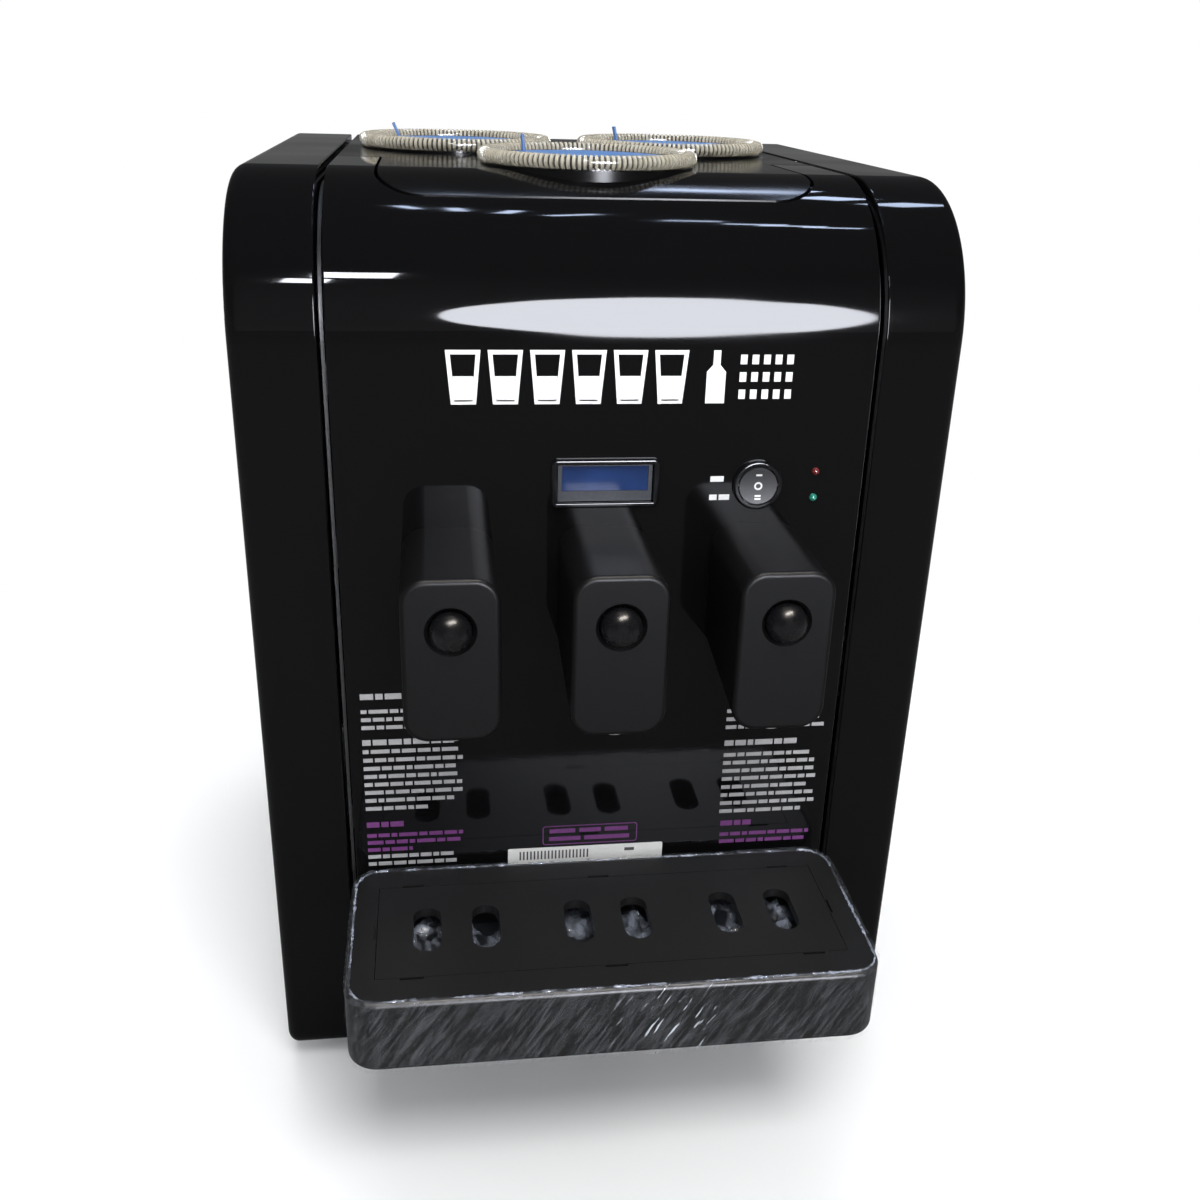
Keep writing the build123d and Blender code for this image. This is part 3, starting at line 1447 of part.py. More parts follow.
with BuildPart() as fan_motor:
    with BuildSketch(facing(motor_y)):
        with Locations((0, fan_z)):
            Circle(motor_radius)
    extrude(amount=motor_length)
    fillet(fan_motor.faces().sort_by(Axis.Y)[0].edges(), radius=motor_edge_radius)
    with BuildSketch(facing(motor_y)):
        with Locations((0, fan_z)):
            Circle(shaft_radius + fit_clearance)
    extrude(amount=shaft_insertion + shaft_end_gap, mode=Mode.SUBTRACT)
save(fan_motor.part, "fan_motor")

with BuildPart() as fan_rotor:
    with BuildSketch(facing(rotor_y + fan_depth / 2)):
        with Locations((0, fan_z)):
            Circle(hub_radius)
    extrude(amount=fan_depth)
    for blade in range(fan_blades):
        angle = 360 / fan_blades * blade
        blade_dir = Vector(math.cos(math.radians(angle)), 0, math.sin(math.radians(angle)))
        blade_start = Vector(0, rotor_y, fan_z) + blade_dir * (hub_radius - blade_root)
        pitch_plane = Plane(blade_start, x_dir=Vector(0, 1, 0), z_dir=blade_dir)
        with BuildSketch(pitch_plane):
            Rectangle(blade_thickness, blade_chord, rotation=blade_pitch)
        extrude(amount=fan_radius - hub_radius)
    with BuildSketch(facing(rotor_y + fan_depth / 2)):
        with Locations((0, fan_z)):
            Circle(fan_radius)
    extrude(amount=fan_depth, mode=Mode.INTERSECT)
    with BuildSketch(facing(rotor_y)):
        with Locations((0, fan_z)):
            Circle(shaft_radius)
    extrude(amount=rotor_y - motor_y + shaft_insertion)
save(fan_rotor.part, "fan_rotor")

drier_z = floor_z + drier_rise
with BuildPart() as filter_drier:
    with BuildSketch(facing(drier_back)):
        with Locations((lines_x, drier_z)):
            Circle(drier_radius)
    extrude(amount=drier_length)
    fillet(filter_drier.edges(), radius=drier_radius / 2)
save(filter_drier.part, "filter_drier")


def refrigerant_line(points, radius, bend):
    """A copper line along straight runs joined by tangent arcs."""
    with BuildPart() as line:
        with BuildLine() as route:
            FilletPolyline(*points, radius=bend)
        with BuildSketch(Plane(points[0], z_dir=Vector(points[1]) - Vector(points[0]))):
            Circle(radius)
        sweep(path=route.wire())
    return line.part


stub_top = compressor_low + compressor_height + stub_height
lines_z = jacket_bottom - sheet - line_radius - lines_drop
tube_end_x = -(fin_span / 2 + tube_overhang) - seat_gap
condenser_last_z = condenser_mid_z + condenser_rise / 2
condenser_first_z = condenser_mid_z - condenser_rise / 2
drier_front = drier_back - drier_length
line_down_y = coil_exit + line_step
with BuildPart() as refrigerant_lines:
    add(refrigerant_line([
        (compressor_x + stub_place, compressor_y, stub_top + seat_gap),
        (compressor_x + stub_place, compressor_y, lines_z),
        (compressor_x + stub_place, condenser_y, lines_z),
        (lines_x, condenser_y, lines_z),
        (lines_x, condenser_y, condenser_last_z),
        (tube_end_x, condenser_y, condenser_last_z),
    ], line_radius, line_bend))
    add(refrigerant_line([
        (tube_end_x, condenser_y, condenser_first_z),
        (lines_x, condenser_y, condenser_first_z),
        (lines_x, condenser_y, drier_z),
        (lines_x, drier_back + seat_gap, drier_z),
    ], line_radius, line_bend))
    add(refrigerant_line([
        (lines_x, drier_front - seat_gap, drier_z),
        (lines_x, drier_front - line_step, drier_z),
        (lines_x - capillary_offset, drier_front - line_step, drier_z),
        (lines_x - capillary_offset, drier_front - line_step, lines_z),
        (lines_x - capillary_offset, line_down_y, lines_z),
        (inlet_tail_x, line_down_y, lines_z),
        (inlet_tail_x, line_down_y, coil_z),
        (inlet_tail_x, coil_exit + seat_gap, coil_z),
    ], capillary_radius, line_bend / 2))
    add(refrigerant_line([
        (outlet_tail_x, coil_exit + seat_gap, coil_z),
        (outlet_tail_x, line_down_y, coil_z),
        (outlet_tail_x, line_down_y, lines_z),
        (compressor_x - stub_place, compressor_y, lines_z),
        (compressor_x - stub_place, compressor_y, stub_top + seat_gap),
    ], line_radius, line_bend))
save(refrigerant_lines.part, "refrigerant_lines")

# Power inlet

contact_places = [
    (inlet_x - contact_pitch, inlet_z - contact_drop),
    (inlet_x + contact_pitch, inlet_z - contact_drop),
    (inlet_x, inlet_z + earth_rise),
]
with BuildPart() as power_inlet:
    with BuildSketch(facing(rear_y)):
        with Locations((inlet_x, inlet_z)):
            RectangleRounded(inlet_width + 2 * inlet_rim_x, inlet_tall + 2 * inlet_rim_z, inlet_corner)
    extrude(amount=-inlet_flange)
    with BuildSketch(facing(rear_y)):
        with Locations((inlet_x, inlet_z)):
            RectangleRounded(inlet_width, inlet_tall, inlet_corner)
    extrude(amount=inlet_depth)
    with BuildSketch(facing(rear_y + inlet_flange)):
        with Locations((inlet_x, inlet_z)):
            RectangleRounded(inlet_width - 2 * inlet_wall, inlet_tall - 2 * inlet_wall, inlet_corner)
    extrude(amount=inlet_flange + inlet_cavity, mode=Mode.SUBTRACT)
    with BuildSketch(facing(rear_y - inlet_cavity)):
        with Locations(*contact_places):
            Rectangle(contact_width, contact_height)
    extrude(amount=-contact_length)
    with BuildSketch(facing(rear_y - inlet_depth)):
        with Locations(*contact_places):
            Rectangle(tail_width, tail_height)
    extrude(amount=tail_reach)
save(power_inlet.part, "power_inlet")
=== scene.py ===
import math
import bpy
from mathutils import Matrix, Vector


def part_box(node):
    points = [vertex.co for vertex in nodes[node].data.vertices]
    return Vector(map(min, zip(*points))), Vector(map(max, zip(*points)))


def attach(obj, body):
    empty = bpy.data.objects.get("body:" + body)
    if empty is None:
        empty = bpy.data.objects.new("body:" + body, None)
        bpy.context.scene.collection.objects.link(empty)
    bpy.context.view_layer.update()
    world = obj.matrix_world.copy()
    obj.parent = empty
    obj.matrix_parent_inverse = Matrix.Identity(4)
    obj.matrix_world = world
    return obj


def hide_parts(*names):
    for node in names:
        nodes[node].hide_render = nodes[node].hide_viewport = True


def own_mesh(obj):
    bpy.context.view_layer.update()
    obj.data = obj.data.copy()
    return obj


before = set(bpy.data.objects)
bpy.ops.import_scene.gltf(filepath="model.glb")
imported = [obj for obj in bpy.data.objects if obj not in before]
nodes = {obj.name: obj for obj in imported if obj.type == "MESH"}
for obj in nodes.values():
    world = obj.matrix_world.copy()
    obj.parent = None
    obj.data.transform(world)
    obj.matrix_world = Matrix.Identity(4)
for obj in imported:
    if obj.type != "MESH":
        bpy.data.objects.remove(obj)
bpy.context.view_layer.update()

# The view. The camera stands a little left of the middle and above the machine's top, as a
# person at the bar holds it, with a lens near 37 mm.
camera_place = (-0.0747, -0.6369, 0.4942)
forward = Vector((0.1285, 0.9100, -0.3942)).normalized()
right = Vector((0.9914, -0.1279, 0.0280))
right = (right - forward * right.dot(forward)).normalized()
up = right.cross(forward)
camera_data = bpy.data.cameras.new("camera")
camera_data.lens = 37.1
camera_data.sensor_width = 36.0
camera_data.clip_start = 0.01
camera_data.clip_end = 100.0
camera = bpy.data.objects.new("camera", camera_data)
turn = Matrix((right, up, -forward)).transposed().to_4x4()
camera.matrix_world = Matrix.Translation(camera_place) @ turn
bpy.context.scene.collection.objects.link(camera)
bpy.context.scene.camera = camera
bpy.context.scene.view_settings.view_transform = "Standard"


# The room. A pale floor runs out to a white background. Soft boxes light the machine evenly. A
# window, small ceiling lamps and a warm bar lamp show only in gloss, where a bar would have them;
# the window and the ceiling lamps leave out the ball buttons and the spouts, which are in shade.
def deselect():
    for thing in bpy.context.selected_objects:
        thing.select_set(False)


def soft_box(name, place, target, width, height, power):
    lamp_data = bpy.data.lights.new(name, "AREA")
    lamp_data.shape = "RECTANGLE"
    lamp_data.size = width
    lamp_data.size_y = height
    lamp_data.energy = power
    lamp = bpy.data.objects.new(name, lamp_data)
    aim = (Vector(target) - Vector(place)).to_track_quat("-Z", "Y").to_matrix().to_4x4()
    lamp.matrix_world = Matrix.Translation(place) @ aim
    bpy.context.scene.collection.objects.link(lamp)
    return lamp


def gloss_lamp(name, place, target, width, height, power, color, shape="RECTANGLE"):
    """A lamp that only shows in gloss, as a window or a ceiling lamp does in polished plastic."""
    lamp = soft_box(name, place, target, width, height, power)
    lamp.data.shape = shape
    lamp.data.color = color
    lamp.visible_diffuse = False
    lamp.light_linking.receiver_collection = in_shade


in_shade = bpy.data.collections.new("in_shade")
for name in ("push_button_left", "push_button_middle", "push_button_right", "tap_nozzles"):
    in_shade.objects.link(nodes[name])
for entry in in_shade.collection_objects:
    entry.light_linking.link_state = "EXCLUDE"

machine_middle = (0.0, -0.05, 0.3)
for box_name, box_place, box_width, box_height, box_power in (
    ("front_box", (0.25, -1.6, 2.6), 1.3, 0.9, 46.0),
    ("ceiling_box", (0.0, 0.6, 2.6), 1.4, 1.0, 30.0),
    ("left_box", (-2.2, -1.4, 1.3), 0.9, 1.2, 18.0),
    ("right_box", (2.3, -0.8, 1.5), 0.8, 1.2, 14.0),
):
    box_lamp = soft_box(box_name, box_place, machine_middle, box_width, box_height, box_power)
    box_lamp.visible_glossy = False

panel_bend = (0.02, -0.11, 0.40)
window_white = (0.90, 0.92, 1.0)
lamp_blue = (0.62, 0.74, 1.0)
lamp_height = 2.4
row_start = 0.17
row_slant = 0.6
far_lamp_power = 14.0
gloss_lamp("window", (0.29, -1.6, 0.67), panel_bend, 0.72, 0.80, 98.0, window_white, "ELLIPSE")
gloss_lamp("side_window_low", (-0.30, -1.6, 1.49), panel_bend, 0.09, 0.10, 4.0, window_white)
gloss_lamp("side_window_high", (-0.22, -1.6, 1.68), panel_bend, 0.14, 0.14, 8.0, window_white)
for lamp_x in (-0.125, -0.015, 0.080, 0.195, 0.445, 0.575, 0.650, 0.725):
    lamp_place = (lamp_x, row_start - row_slant * lamp_x, lamp_height)
    gloss_lamp("near_lamp", lamp_place, panel_bend, 0.034, 0.12, 0.7, lamp_blue)
for lamp_x, lamp_y, lamp_length in (
    (0.55, 1.43, 0.22), (0.75, 1.40, 0.16), (0.80, 0.96, 0.14),
    (0.93, 0.70, 0.15), (-0.015, 0.77, 0.09), (0.095, 0.72, 0.04),
):
    gloss_lamp("far_lamp", (lamp_x, lamp_y, lamp_height), panel_bend, lamp_length, 0.16,
               far_lamp_power * lamp_length, lamp_blue)

bar_light = soft_box("bar_light", (0.15, -0.55, lamp_height), (0.0, -0.15, 0.2), 1.5, 0.5, 110.0)
bar_light.data.color = (1.0, 0.93, 0.84)
bar_light.visible_diffuse = False
bar_edges = bpy.data.collections.new("bar_edges")
for name in (
    "drip_tray", "drip_grid", "tap_housing_left", "tap_housing_middle", "tap_housing_right",
    "push_button_left", "push_button_middle", "push_button_right",
):
    bar_edges.objects.link(nodes[name])
bar_light.light_linking.receiver_collection = bar_edges


def calculate(tree, operation, *values):
    """The result of a math node, whose values are numbers or other nodes' outputs."""
    step = tree.nodes.new("ShaderNodeMath")
    step.operation = operation
    for socket, value in zip(step.inputs, values):
        if isinstance(value, float):
            socket.default_value = value
        else:
            tree.links.new(value, socket)
    return step.outputs[0]


def fade(tree, value, first, last, low=0.0, high=1.0, curve="LINEAR"):
    """Turns a value between first and last into one between low and high."""
    step = tree.nodes.new("ShaderNodeMapRange")
    step.interpolation_type = curve
    step.inputs["From Min"].default_value = first
    step.inputs["From Max"].default_value = last
    step.inputs["To Min"].default_value = low
    step.inputs["To Max"].default_value = high
    tree.links.new(value, step.inputs["Value"])
    return step.outputs["Result"]


def seen(tree, in_gloss):
    """1 where the camera sees the place itself or through clear plastic, and in_gloss in gloss."""
    rays = tree.nodes.new("ShaderNodeLightPath")
    gloss = calculate(tree, "MULTIPLY", rays.outputs["Is Glossy Ray"], in_gloss)
    camera_or_gloss = calculate(tree, "MAXIMUM", rays.outputs["Is Camera Ray"], gloss)
    return calculate(tree, "MAXIMUM", camera_or_gloss, rays.outputs["Is Transmission Ray"])


def mix_shaders(tree, share, first, second, out):
    """Sends two shaders, mixed by a share, to the output node."""
    mixed = tree.nodes.new("ShaderNodeMixShader")
    tree.links.new(share, mixed.inputs["Fac"])
    tree.links.new(first.outputs[0], mixed.inputs[1])
    tree.links.new(second.outputs[0], mixed.inputs[2])
    tree.links.new(mixed.outputs[0], tree.nodes.new(out).inputs["Surface"])


world = bpy.data.worlds.new("room")
bpy.context.scene.world = world
world.use_nodes = True
tree = world.node_tree
tree.nodes.clear()
room_strength = 0.55
front_in_gloss = 0.40
sides_in_gloss = 0.05
horizon_in_gloss = 0.14
rays = tree.nodes.new("ShaderNodeLightPath")
toward = tree.nodes.new("ShaderNodeTexCoord")
heading = tree.nodes.new("ShaderNodeSeparateXYZ")
tree.links.new(toward.outputs["Generated"], heading.inputs["Vector"])
gloss_level = fade(
    tree, heading.outputs["Y"], -0.98, -0.70, front_in_gloss, sides_in_gloss, "SMOOTHSTEP")
gloss_drop = calculate(tree, "SUBTRACT", room_strength, gloss_level)
gloss_drop = calculate(tree, "MULTIPLY", gloss_drop, rays.outputs["Is Glossy Ray"])
room_light = tree.nodes.new("ShaderNodeBackground")
room_light.inputs["Color"].default_value = (0.95, 0.97, 1.0, 1.0)
room_level = calculate(tree, "SUBTRACT", room_strength, gloss_drop)
tree.links.new(room_level, room_light.inputs["Strength"])
seen_white = tree.nodes.new("ShaderNodeBackground")
seen_white.inputs["Color"].default_value = (1.0, 1.0, 1.0, 1.0)
horizon = fade(tree, heading.outputs["Z"], 0.16, 0.01, 0.0, horizon_in_gloss, "SMOOTHSTEP")
mix_shaders(tree, seen(tree, horizon), room_light, seen_white, "ShaderNodeOutputWorld")

deselect()
bpy.ops.mesh.primitive_plane_add(size=40.0)
floor = bpy.context.object
floor.name = "floor"
floor_finish = bpy.data.materials.new("pale_floor")
floor_finish.use_nodes = True
tree = floor_finish.node_tree
tree.nodes.clear()
floor_tone = 0.93
tone_drop_in_gloss = 0.76
floor_in_gloss = 0.12
rays = tree.nodes.new("ShaderNodeLightPath")
floor_place = tree.nodes.new("ShaderNodeTexCoord")
from_middle = tree.nodes.new("ShaderNodeVectorMath")
from_middle.operation = "LENGTH"
tree.links.new(floor_place.outputs["Object"], from_middle.inputs[0])
floor_fade = fade(tree, from_middle.outputs["Value"], 0.22, 0.75, curve="SMOOTHSTEP")
floor_paint = tree.nodes.new("ShaderNodeBsdfDiffuse")
seen_tone = calculate(
    tree, "MULTIPLY_ADD", rays.outputs["Is Glossy Ray"], -tone_drop_in_gloss, floor_tone)
tree.links.new(seen_tone, floor_paint.inputs["Color"])
floor_white = tree.nodes.new("ShaderNodeEmission")
white_share = calculate(tree, "MULTIPLY", seen(tree, floor_in_gloss), floor_fade)
mix_shaders(tree, white_share, floor_paint, floor_white, "ShaderNodeOutputMaterial")
floor.data.materials.append(floor_finish)


# Feet. Four round rubber feet, moulded black with a faint dusty bloom, carry the base pan.
# They are pushed into holes of the pan.
def finish(name, color, roughness, metallic=0.0, specular=0.5):
    """A new material with its surface shader, ready for its own nodes."""
    made = bpy.data.materials.new(name)
    made.use_nodes = True
    shader = made.node_tree.nodes["Principled BSDF"]
    shader.inputs["Base Color"].default_value = (*color, 1.0)
    shader.inputs["Roughness"].default_value = roughness
    shader.inputs["Metallic"].default_value = metallic
    shader.inputs["Specular IOR Level"].default_value = specular
    return made, shader


def object_place(made, scale=(1.0, 1.0, 1.0)):
    """The piece's own coordinates, stretched by a scale along each axis."""
    place = made.node_tree.nodes.new("ShaderNodeTexCoord")
    stretch = made.node_tree.nodes.new("ShaderNodeMapping")
    stretch.inputs["Scale"].default_value = scale
    made.node_tree.links.new(place.outputs["Object"], stretch.inputs["Vector"])
    return stretch.outputs["Vector"]


def grain(made, shader, scale, detail, depth, stretch=(1.0, 1.0, 1.0)):
    """Fine surface relief from noise, with its size in waves per metre and its depth in metres."""
    noise = made.node_tree.nodes.new("ShaderNodeTexNoise")
    noise.inputs["Scale"].default_value = scale
    noise.inputs["Detail"].default_value = detail
    made.node_tree.links.new(object_place(made, stretch), noise.inputs["Vector"])
    relief = made.node_tree.nodes.new("ShaderNodeBump")
    relief.inputs["Distance"].default_value = depth
    made.node_tree.links.new(noise.outputs["Fac"], relief.inputs["Height"])
    made.node_tree.links.new(relief.outputs["Normal"], shader.inputs["Normal"])
    return noise


def vary(made, shader, socket, noise, low, high, first=0.35, last=0.65):
    """Spreads a number of the shader between two values after a noise."""
    spread = fade(made.node_tree, noise.outputs["Fac"], first, last, low, high)
    made.node_tree.links.new(spread, shader.inputs[socket])


def tint(made, shader, noise, dark, light, first=0.3, last=0.7):
    """Spreads the colour between two shades after a noise."""
    ramp = made.node_tree.nodes.new("ShaderNodeValToRGB")
    ramp.color_ramp.elements[0].position = first
    ramp.color_ramp.elements[0].color = (*dark, 1.0)
    ramp.color_ramp.elements[1].position = last
    ramp.color_ramp.elements[1].color = (*light, 1.0)
    made.node_tree.links.new(noise.outputs["Fac"], ramp.inputs["Fac"])
    made.node_tree.links.new(ramp.outputs["Color"], shader.inputs["Base Color"])


def wear(made, *names):
    """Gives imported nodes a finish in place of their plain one."""
    for name in names:
        nodes[name].data.materials.clear()
        nodes[name].data.materials.append(made)


rubber, rubber_shader = finish("foot_rubber", (0.020, 0.020, 0.020), 0.75)
rubber_noise = grain(rubber, rubber_shader, 900.0, 3.0, 0.00012)
tint(rubber, rubber_shader, rubber_noise, (0.016, 0.016, 0.016), (0.034, 0.033, 0.032))
wear(rubber, "rubber_feet", "compressor_grommets")


# Base pan, shelf, carrier and brackets. Zinc-plated steel sheet, cut and folded, with the large
# faint crystals of the plating.
zinc, zinc_shader = finish("zinc_sheet", (0.62, 0.63, 0.64), 0.34, 1.0)
zinc_crystals = zinc.node_tree.nodes.new("ShaderNodeTexVoronoi")
zinc_crystals.inputs["Scale"].default_value = 140.0
zinc.node_tree.links.new(object_place(zinc), zinc_crystals.inputs["Vector"])
zinc_roughness = fade(
    zinc.node_tree, zinc_crystals.outputs["Distance"], 0.0, 1.0, 0.28, 0.46)
zinc.node_tree.links.new(zinc_roughness, zinc_shader.inputs["Roughness"])
zinc_noise = grain(zinc, zinc_shader, 60.0, 2.0, 0.00015)
tint(zinc, zinc_shader, zinc_noise, (0.54, 0.55, 0.57), (0.68, 0.69, 0.70))
wear(zinc, "base_pan", "block_shelf", "well_carrier", "tray_brackets")


# Compressor, its relay and the fan's motor. Pressed steel shells in thick black paint with a
# light orange peel, and moulded black covers.
thick_paint, thick_paint_shader = finish("thick_black_paint", (0.012, 0.012, 0.013), 0.32)
paint_noise = grain(thick_paint, thick_paint_shader, 320.0, 2.0, 0.00025)
vary(thick_paint, thick_paint_shader, "Roughness", paint_noise, 0.26, 0.42)
wear(thick_paint, "compressor", "fan_motor")

moulded_black, moulded_black_shader = finish("moulded_black", (0.022, 0.022, 0.024), 0.5)
moulded_noise = grain(moulded_black, moulded_black_shader, 1500.0, 3.0, 0.00008)
vary(moulded_black, moulded_black_shader, "Roughness", moulded_noise, 0.42, 0.58)
wear(moulded_black, "start_relay", "fan_shroud", "fan_rotor", "power_inlet", "button_switches")


# Cooling pipes, drier and condenser. Drawn copper tube with dull patches of oxide, and thin
# aluminium fins pressed over the condenser's pipe.
copper, copper_shader = finish("drawn_copper", (0.72, 0.43, 0.28), 0.3, 1.0)
copper_noise = grain(copper, copper_shader, 120.0, 4.0, 0.00005)
tint(copper, copper_shader, copper_noise, (0.42, 0.22, 0.13), (0.80, 0.50, 0.34))
vary(copper, copper_shader, "Roughness", copper_noise, 0.45, 0.22)
wear(copper, "evaporator_coil", "refrigerant_lines", "filter_drier")

aluminium, aluminium_shader = finish("milled_aluminium", (0.77, 0.78, 0.79), 0.32, 1.0)
aluminium_noise = grain(aluminium, aluminium_shader, 220.0, 2.0, 0.00006, (1.0, 14.0, 1.0))
vary(aluminium, aluminium_shader, "Roughness", aluminium_noise, 0.24, 0.40)
wear(aluminium, "condenser", "chill_block")


# Insulation. Cream rigid foam, cut in slabs, with open cells on its faces.
foam, foam_shader = finish("cream_foam", (0.78, 0.76, 0.66), 0.9)
foam_noise = grain(foam, foam_shader, 900.0, 4.0, 0.0006)
tint(foam, foam_shader, foam_noise, (0.60, 0.57, 0.47), (0.82, 0.80, 0.71))
wear(foam, "insulation_jacket", "insulation_lid")


# Bottle wells, receivers, hoses, valves, spouts and control board. Grey moulded wells, stainless
# receivers and spouts, clear silicone hose, turned brass valves and a green board.
well_plastic, well_shader = finish("well_plastic", (0.55, 0.56, 0.58), 0.45)
well_noise = grain(well_plastic, well_shader, 700.0, 2.0, 0.00008)
tint(well_plastic, well_shader, well_noise, (0.50, 0.51, 0.53), (0.58, 0.59, 0.61))
wear(well_plastic, "bottle_well_front", "bottle_well_left", "bottle_well_right")

stainless, stainless_shader = finish("stainless", (0.70, 0.70, 0.71), 0.22, 1.0)
stainless_noise = grain(stainless, stainless_shader, 500.0, 2.0, 0.00003, (1.0, 1.0, 12.0))
vary(stainless, stainless_shader, "Roughness", stainless_noise, 0.16, 0.30)
wear(stainless, "bottle_receivers", "tap_nozzles", "cover_screws")

silicone, silicone_shader = finish("silicone_hose", (0.78, 0.78, 0.76), 0.35)
silicone_noise = grain(silicone, silicone_shader, 260.0, 2.0, 0.00006)
tint(silicone, silicone_shader, silicone_noise, (0.70, 0.70, 0.67), (0.82, 0.82, 0.80))
wear(silicone, "supply_hoses")

brass, brass_shader = finish("turned_brass", (0.72, 0.58, 0.30), 0.28, 1.0)
brass_noise = grain(brass, brass_shader, 420.0, 2.0, 0.00005, (1.0, 8.0, 1.0))
vary(brass, brass_shader, "Roughness", brass_noise, 0.20, 0.36)
wear(brass, "solenoid_valves")

board_green, board_shader = finish("board_green", (0.03, 0.20, 0.10), 0.3)
board_noise = grain(board_green, board_shader, 1100.0, 1.0, 0.00005)
tint(board_green, board_shader, board_noise, (0.02, 0.15, 0.07), (0.05, 0.26, 0.14), 0.45, 0.55)
wear(board_green, "control_board")


# Outer covers. Two side covers, the front panel and the top cover, moulded in black plastic
# with a piano finish; they clip over the black painted frame, with narrow grooves between them.
piano_black, piano_shader = finish("piano_black", (0.0036, 0.0036, 0.0040), 0.045, specular=0.14)
piano_noise = grain(piano_black, piano_shader, 11.0, 1.0, 0.0006)
vary(piano_black, piano_shader, "Roughness", piano_noise, 0.03, 0.075)
wear(piano_black, "left_side_cover", "right_side_cover", "front_panel")

lid_black, lid_shader = finish("lid_black", (0.0036, 0.0036, 0.0038), 0.16, specular=0.14)
lid_noise = grain(lid_black, lid_shader, 14.0, 1.0, 0.0003)
vary(lid_black, lid_shader, "Roughness", lid_noise, 0.12, 0.20)
wear(lid_black, "top_cover")

rear_paint, rear_shader = finish("rear_paint", (0.018, 0.018, 0.019), 0.42)
rear_noise = grain(rear_paint, rear_shader, 800.0, 2.0, 0.00012)
vary(rear_paint, rear_shader, "Roughness", rear_noise, 0.34, 0.52)
wear(rear_paint, "rear_panel", "left_frame", "right_frame")


# Light rings. Each bottle opening has a clear moulded ring, pressed with close ribs that spread
# the light of the lamps below. The gaps between the ribs and the sleeve below are painted dark as
# shade.
clear_plastic, clear_shader = finish("clear_ring_plastic", (0.74, 0.69, 0.57), 0.09)
clear_shader.inputs["Transmission Weight"].default_value = 0.42
clear_shader.inputs["IOR"].default_value = 1.49
clear_noise = grain(clear_plastic, clear_shader, 160.0, 2.0, 0.00002)
tint(clear_plastic, clear_shader, clear_noise, (0.66, 0.61, 0.49), (0.80, 0.76, 0.65))
# A darker, less clear colour for the rib gaps: painted shade in the grooves between the ribs.
rib_gap_shade, gap_shader = finish("ring_rib_gap_shade", (0.09, 0.082, 0.07), 0.12)
gap_shader.inputs["Transmission Weight"].default_value = 0.30
gap_noise = grain(rib_gap_shade, gap_shader, 260.0, 2.0, 0.00002)
tint(rib_gap_shade, gap_shader, gap_noise, (0.06, 0.055, 0.05), (0.13, 0.12, 0.10))
ring_places = {"front": (0.0, -0.0181), "left": (-0.0596, 0.0907), "right": (0.0596, 0.0907)}
deck_height = 0.452
ring_reach = 0.0490
ring_tube = 0.0032
ring_lift = 0.0045
rib_count = 128
rib_depth = 0.0007
sleeve_radius = 0.0464


def select_where(piece, test):
    """Selects the vertices of a piece in edit mode that pass a test of their place."""
    bpy.ops.object.mode_set(mode="EDIT")
    bpy.ops.mesh.select_mode(type="VERT")
    bpy.ops.mesh.select_all(action="DESELECT")
    bpy.ops.object.mode_set(mode="OBJECT")
    for vertex in piece.data.vertices:
        vertex.select = test(vertex.co)
    bpy.ops.object.mode_set(mode="EDIT")


def settle(piece):
    """Moves a piece's place, turn and size into its mesh."""
    deselect()
    piece.select_set(True)
    bpy.context.view_layer.objects.active = piece
    bpy.ops.object.transform_apply(location=True, rotation=True, scale=True)


def unite(pieces, name):
    """Joins pieces into the first one."""
    deselect()
    for piece in pieces:
        piece.select_set(True)
    bpy.context.view_layer.objects.active = pieces[0]
    if len(pieces) > 1:
        bpy.ops.object.join()
    pieces[0].name = name
    settle(pieces[0])
    return pieces[0]


def sleeve_part(middle, height, wall):
    """An upright tube below a ring, open at both ends, whose wall grows inwards."""
    deselect()
    bpy.ops.mesh.primitive_cylinder_add(
        radius=sleeve_radius, depth=height, vertices=96, end_fill_type="NOTHING", location=middle)
    tube = bpy.context.object
    solid = tube.modifiers.new("wall", "SOLIDIFY")
    solid.thickness = wall
    bpy.ops.object.modifier_apply(modifier="wall")
    # The tube takes the same dark colour: painted shade below the ring.
    tube.data.materials.append(rib_gap_shade)
    return tube


for place, (ring_x, ring_y) in ring_places.items():
    deselect()
    bpy.ops.mesh.primitive_torus_add(
        major_radius=ring_reach, minor_radius=ring_tube,
        major_segments=rib_count * 2, minor_segments=20)
    ring = bpy.context.object
    ring.data.materials.append(clear_plastic)
    ring.data.materials.append(rib_gap_shade)
    bpy.ops.object.mode_set(mode="EDIT")
    bpy.ops.mesh.select_mode(type="FACE")
    bpy.ops.mesh.select_all(action="DESELECT")
    bpy.ops.object.mode_set(mode="OBJECT")
    for face in ring.data.polygons:
        rib_turns = math.atan2(face.center.y, face.center.x) / math.tau * rib_count
        face.select = rib_turns % 1.0 > 0.5
    bpy.ops.object.mode_set(mode="EDIT")
    bpy.ops.mesh.inset(thickness=0.00015, depth=-rib_depth)
    bpy.ops.object.mode_set(mode="OBJECT")
    # The sunk faces between the ribs take the painted-shade colour.
    for face in ring.data.polygons:
        face.material_index = 1 if face.select else 0
    ring.location = (ring_x, ring_y, deck_height + ring_lift)
    sleeve = sleeve_part((ring_x, ring_y, deck_height - 0.0019), height=0.0126, wall=0.0034)
    ledge = sleeve_part((ring_x, ring_y, deck_height - 0.0062), height=0.004, wall=0.0054)
    ring = unite([ring, sleeve, ledge], f"ribbed_ring_{place}")
    bpy.ops.object.shade_smooth_by_angle(angle=math.radians(50))
    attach(ring, "cabinet")
    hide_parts(f"light_ring_{place}")


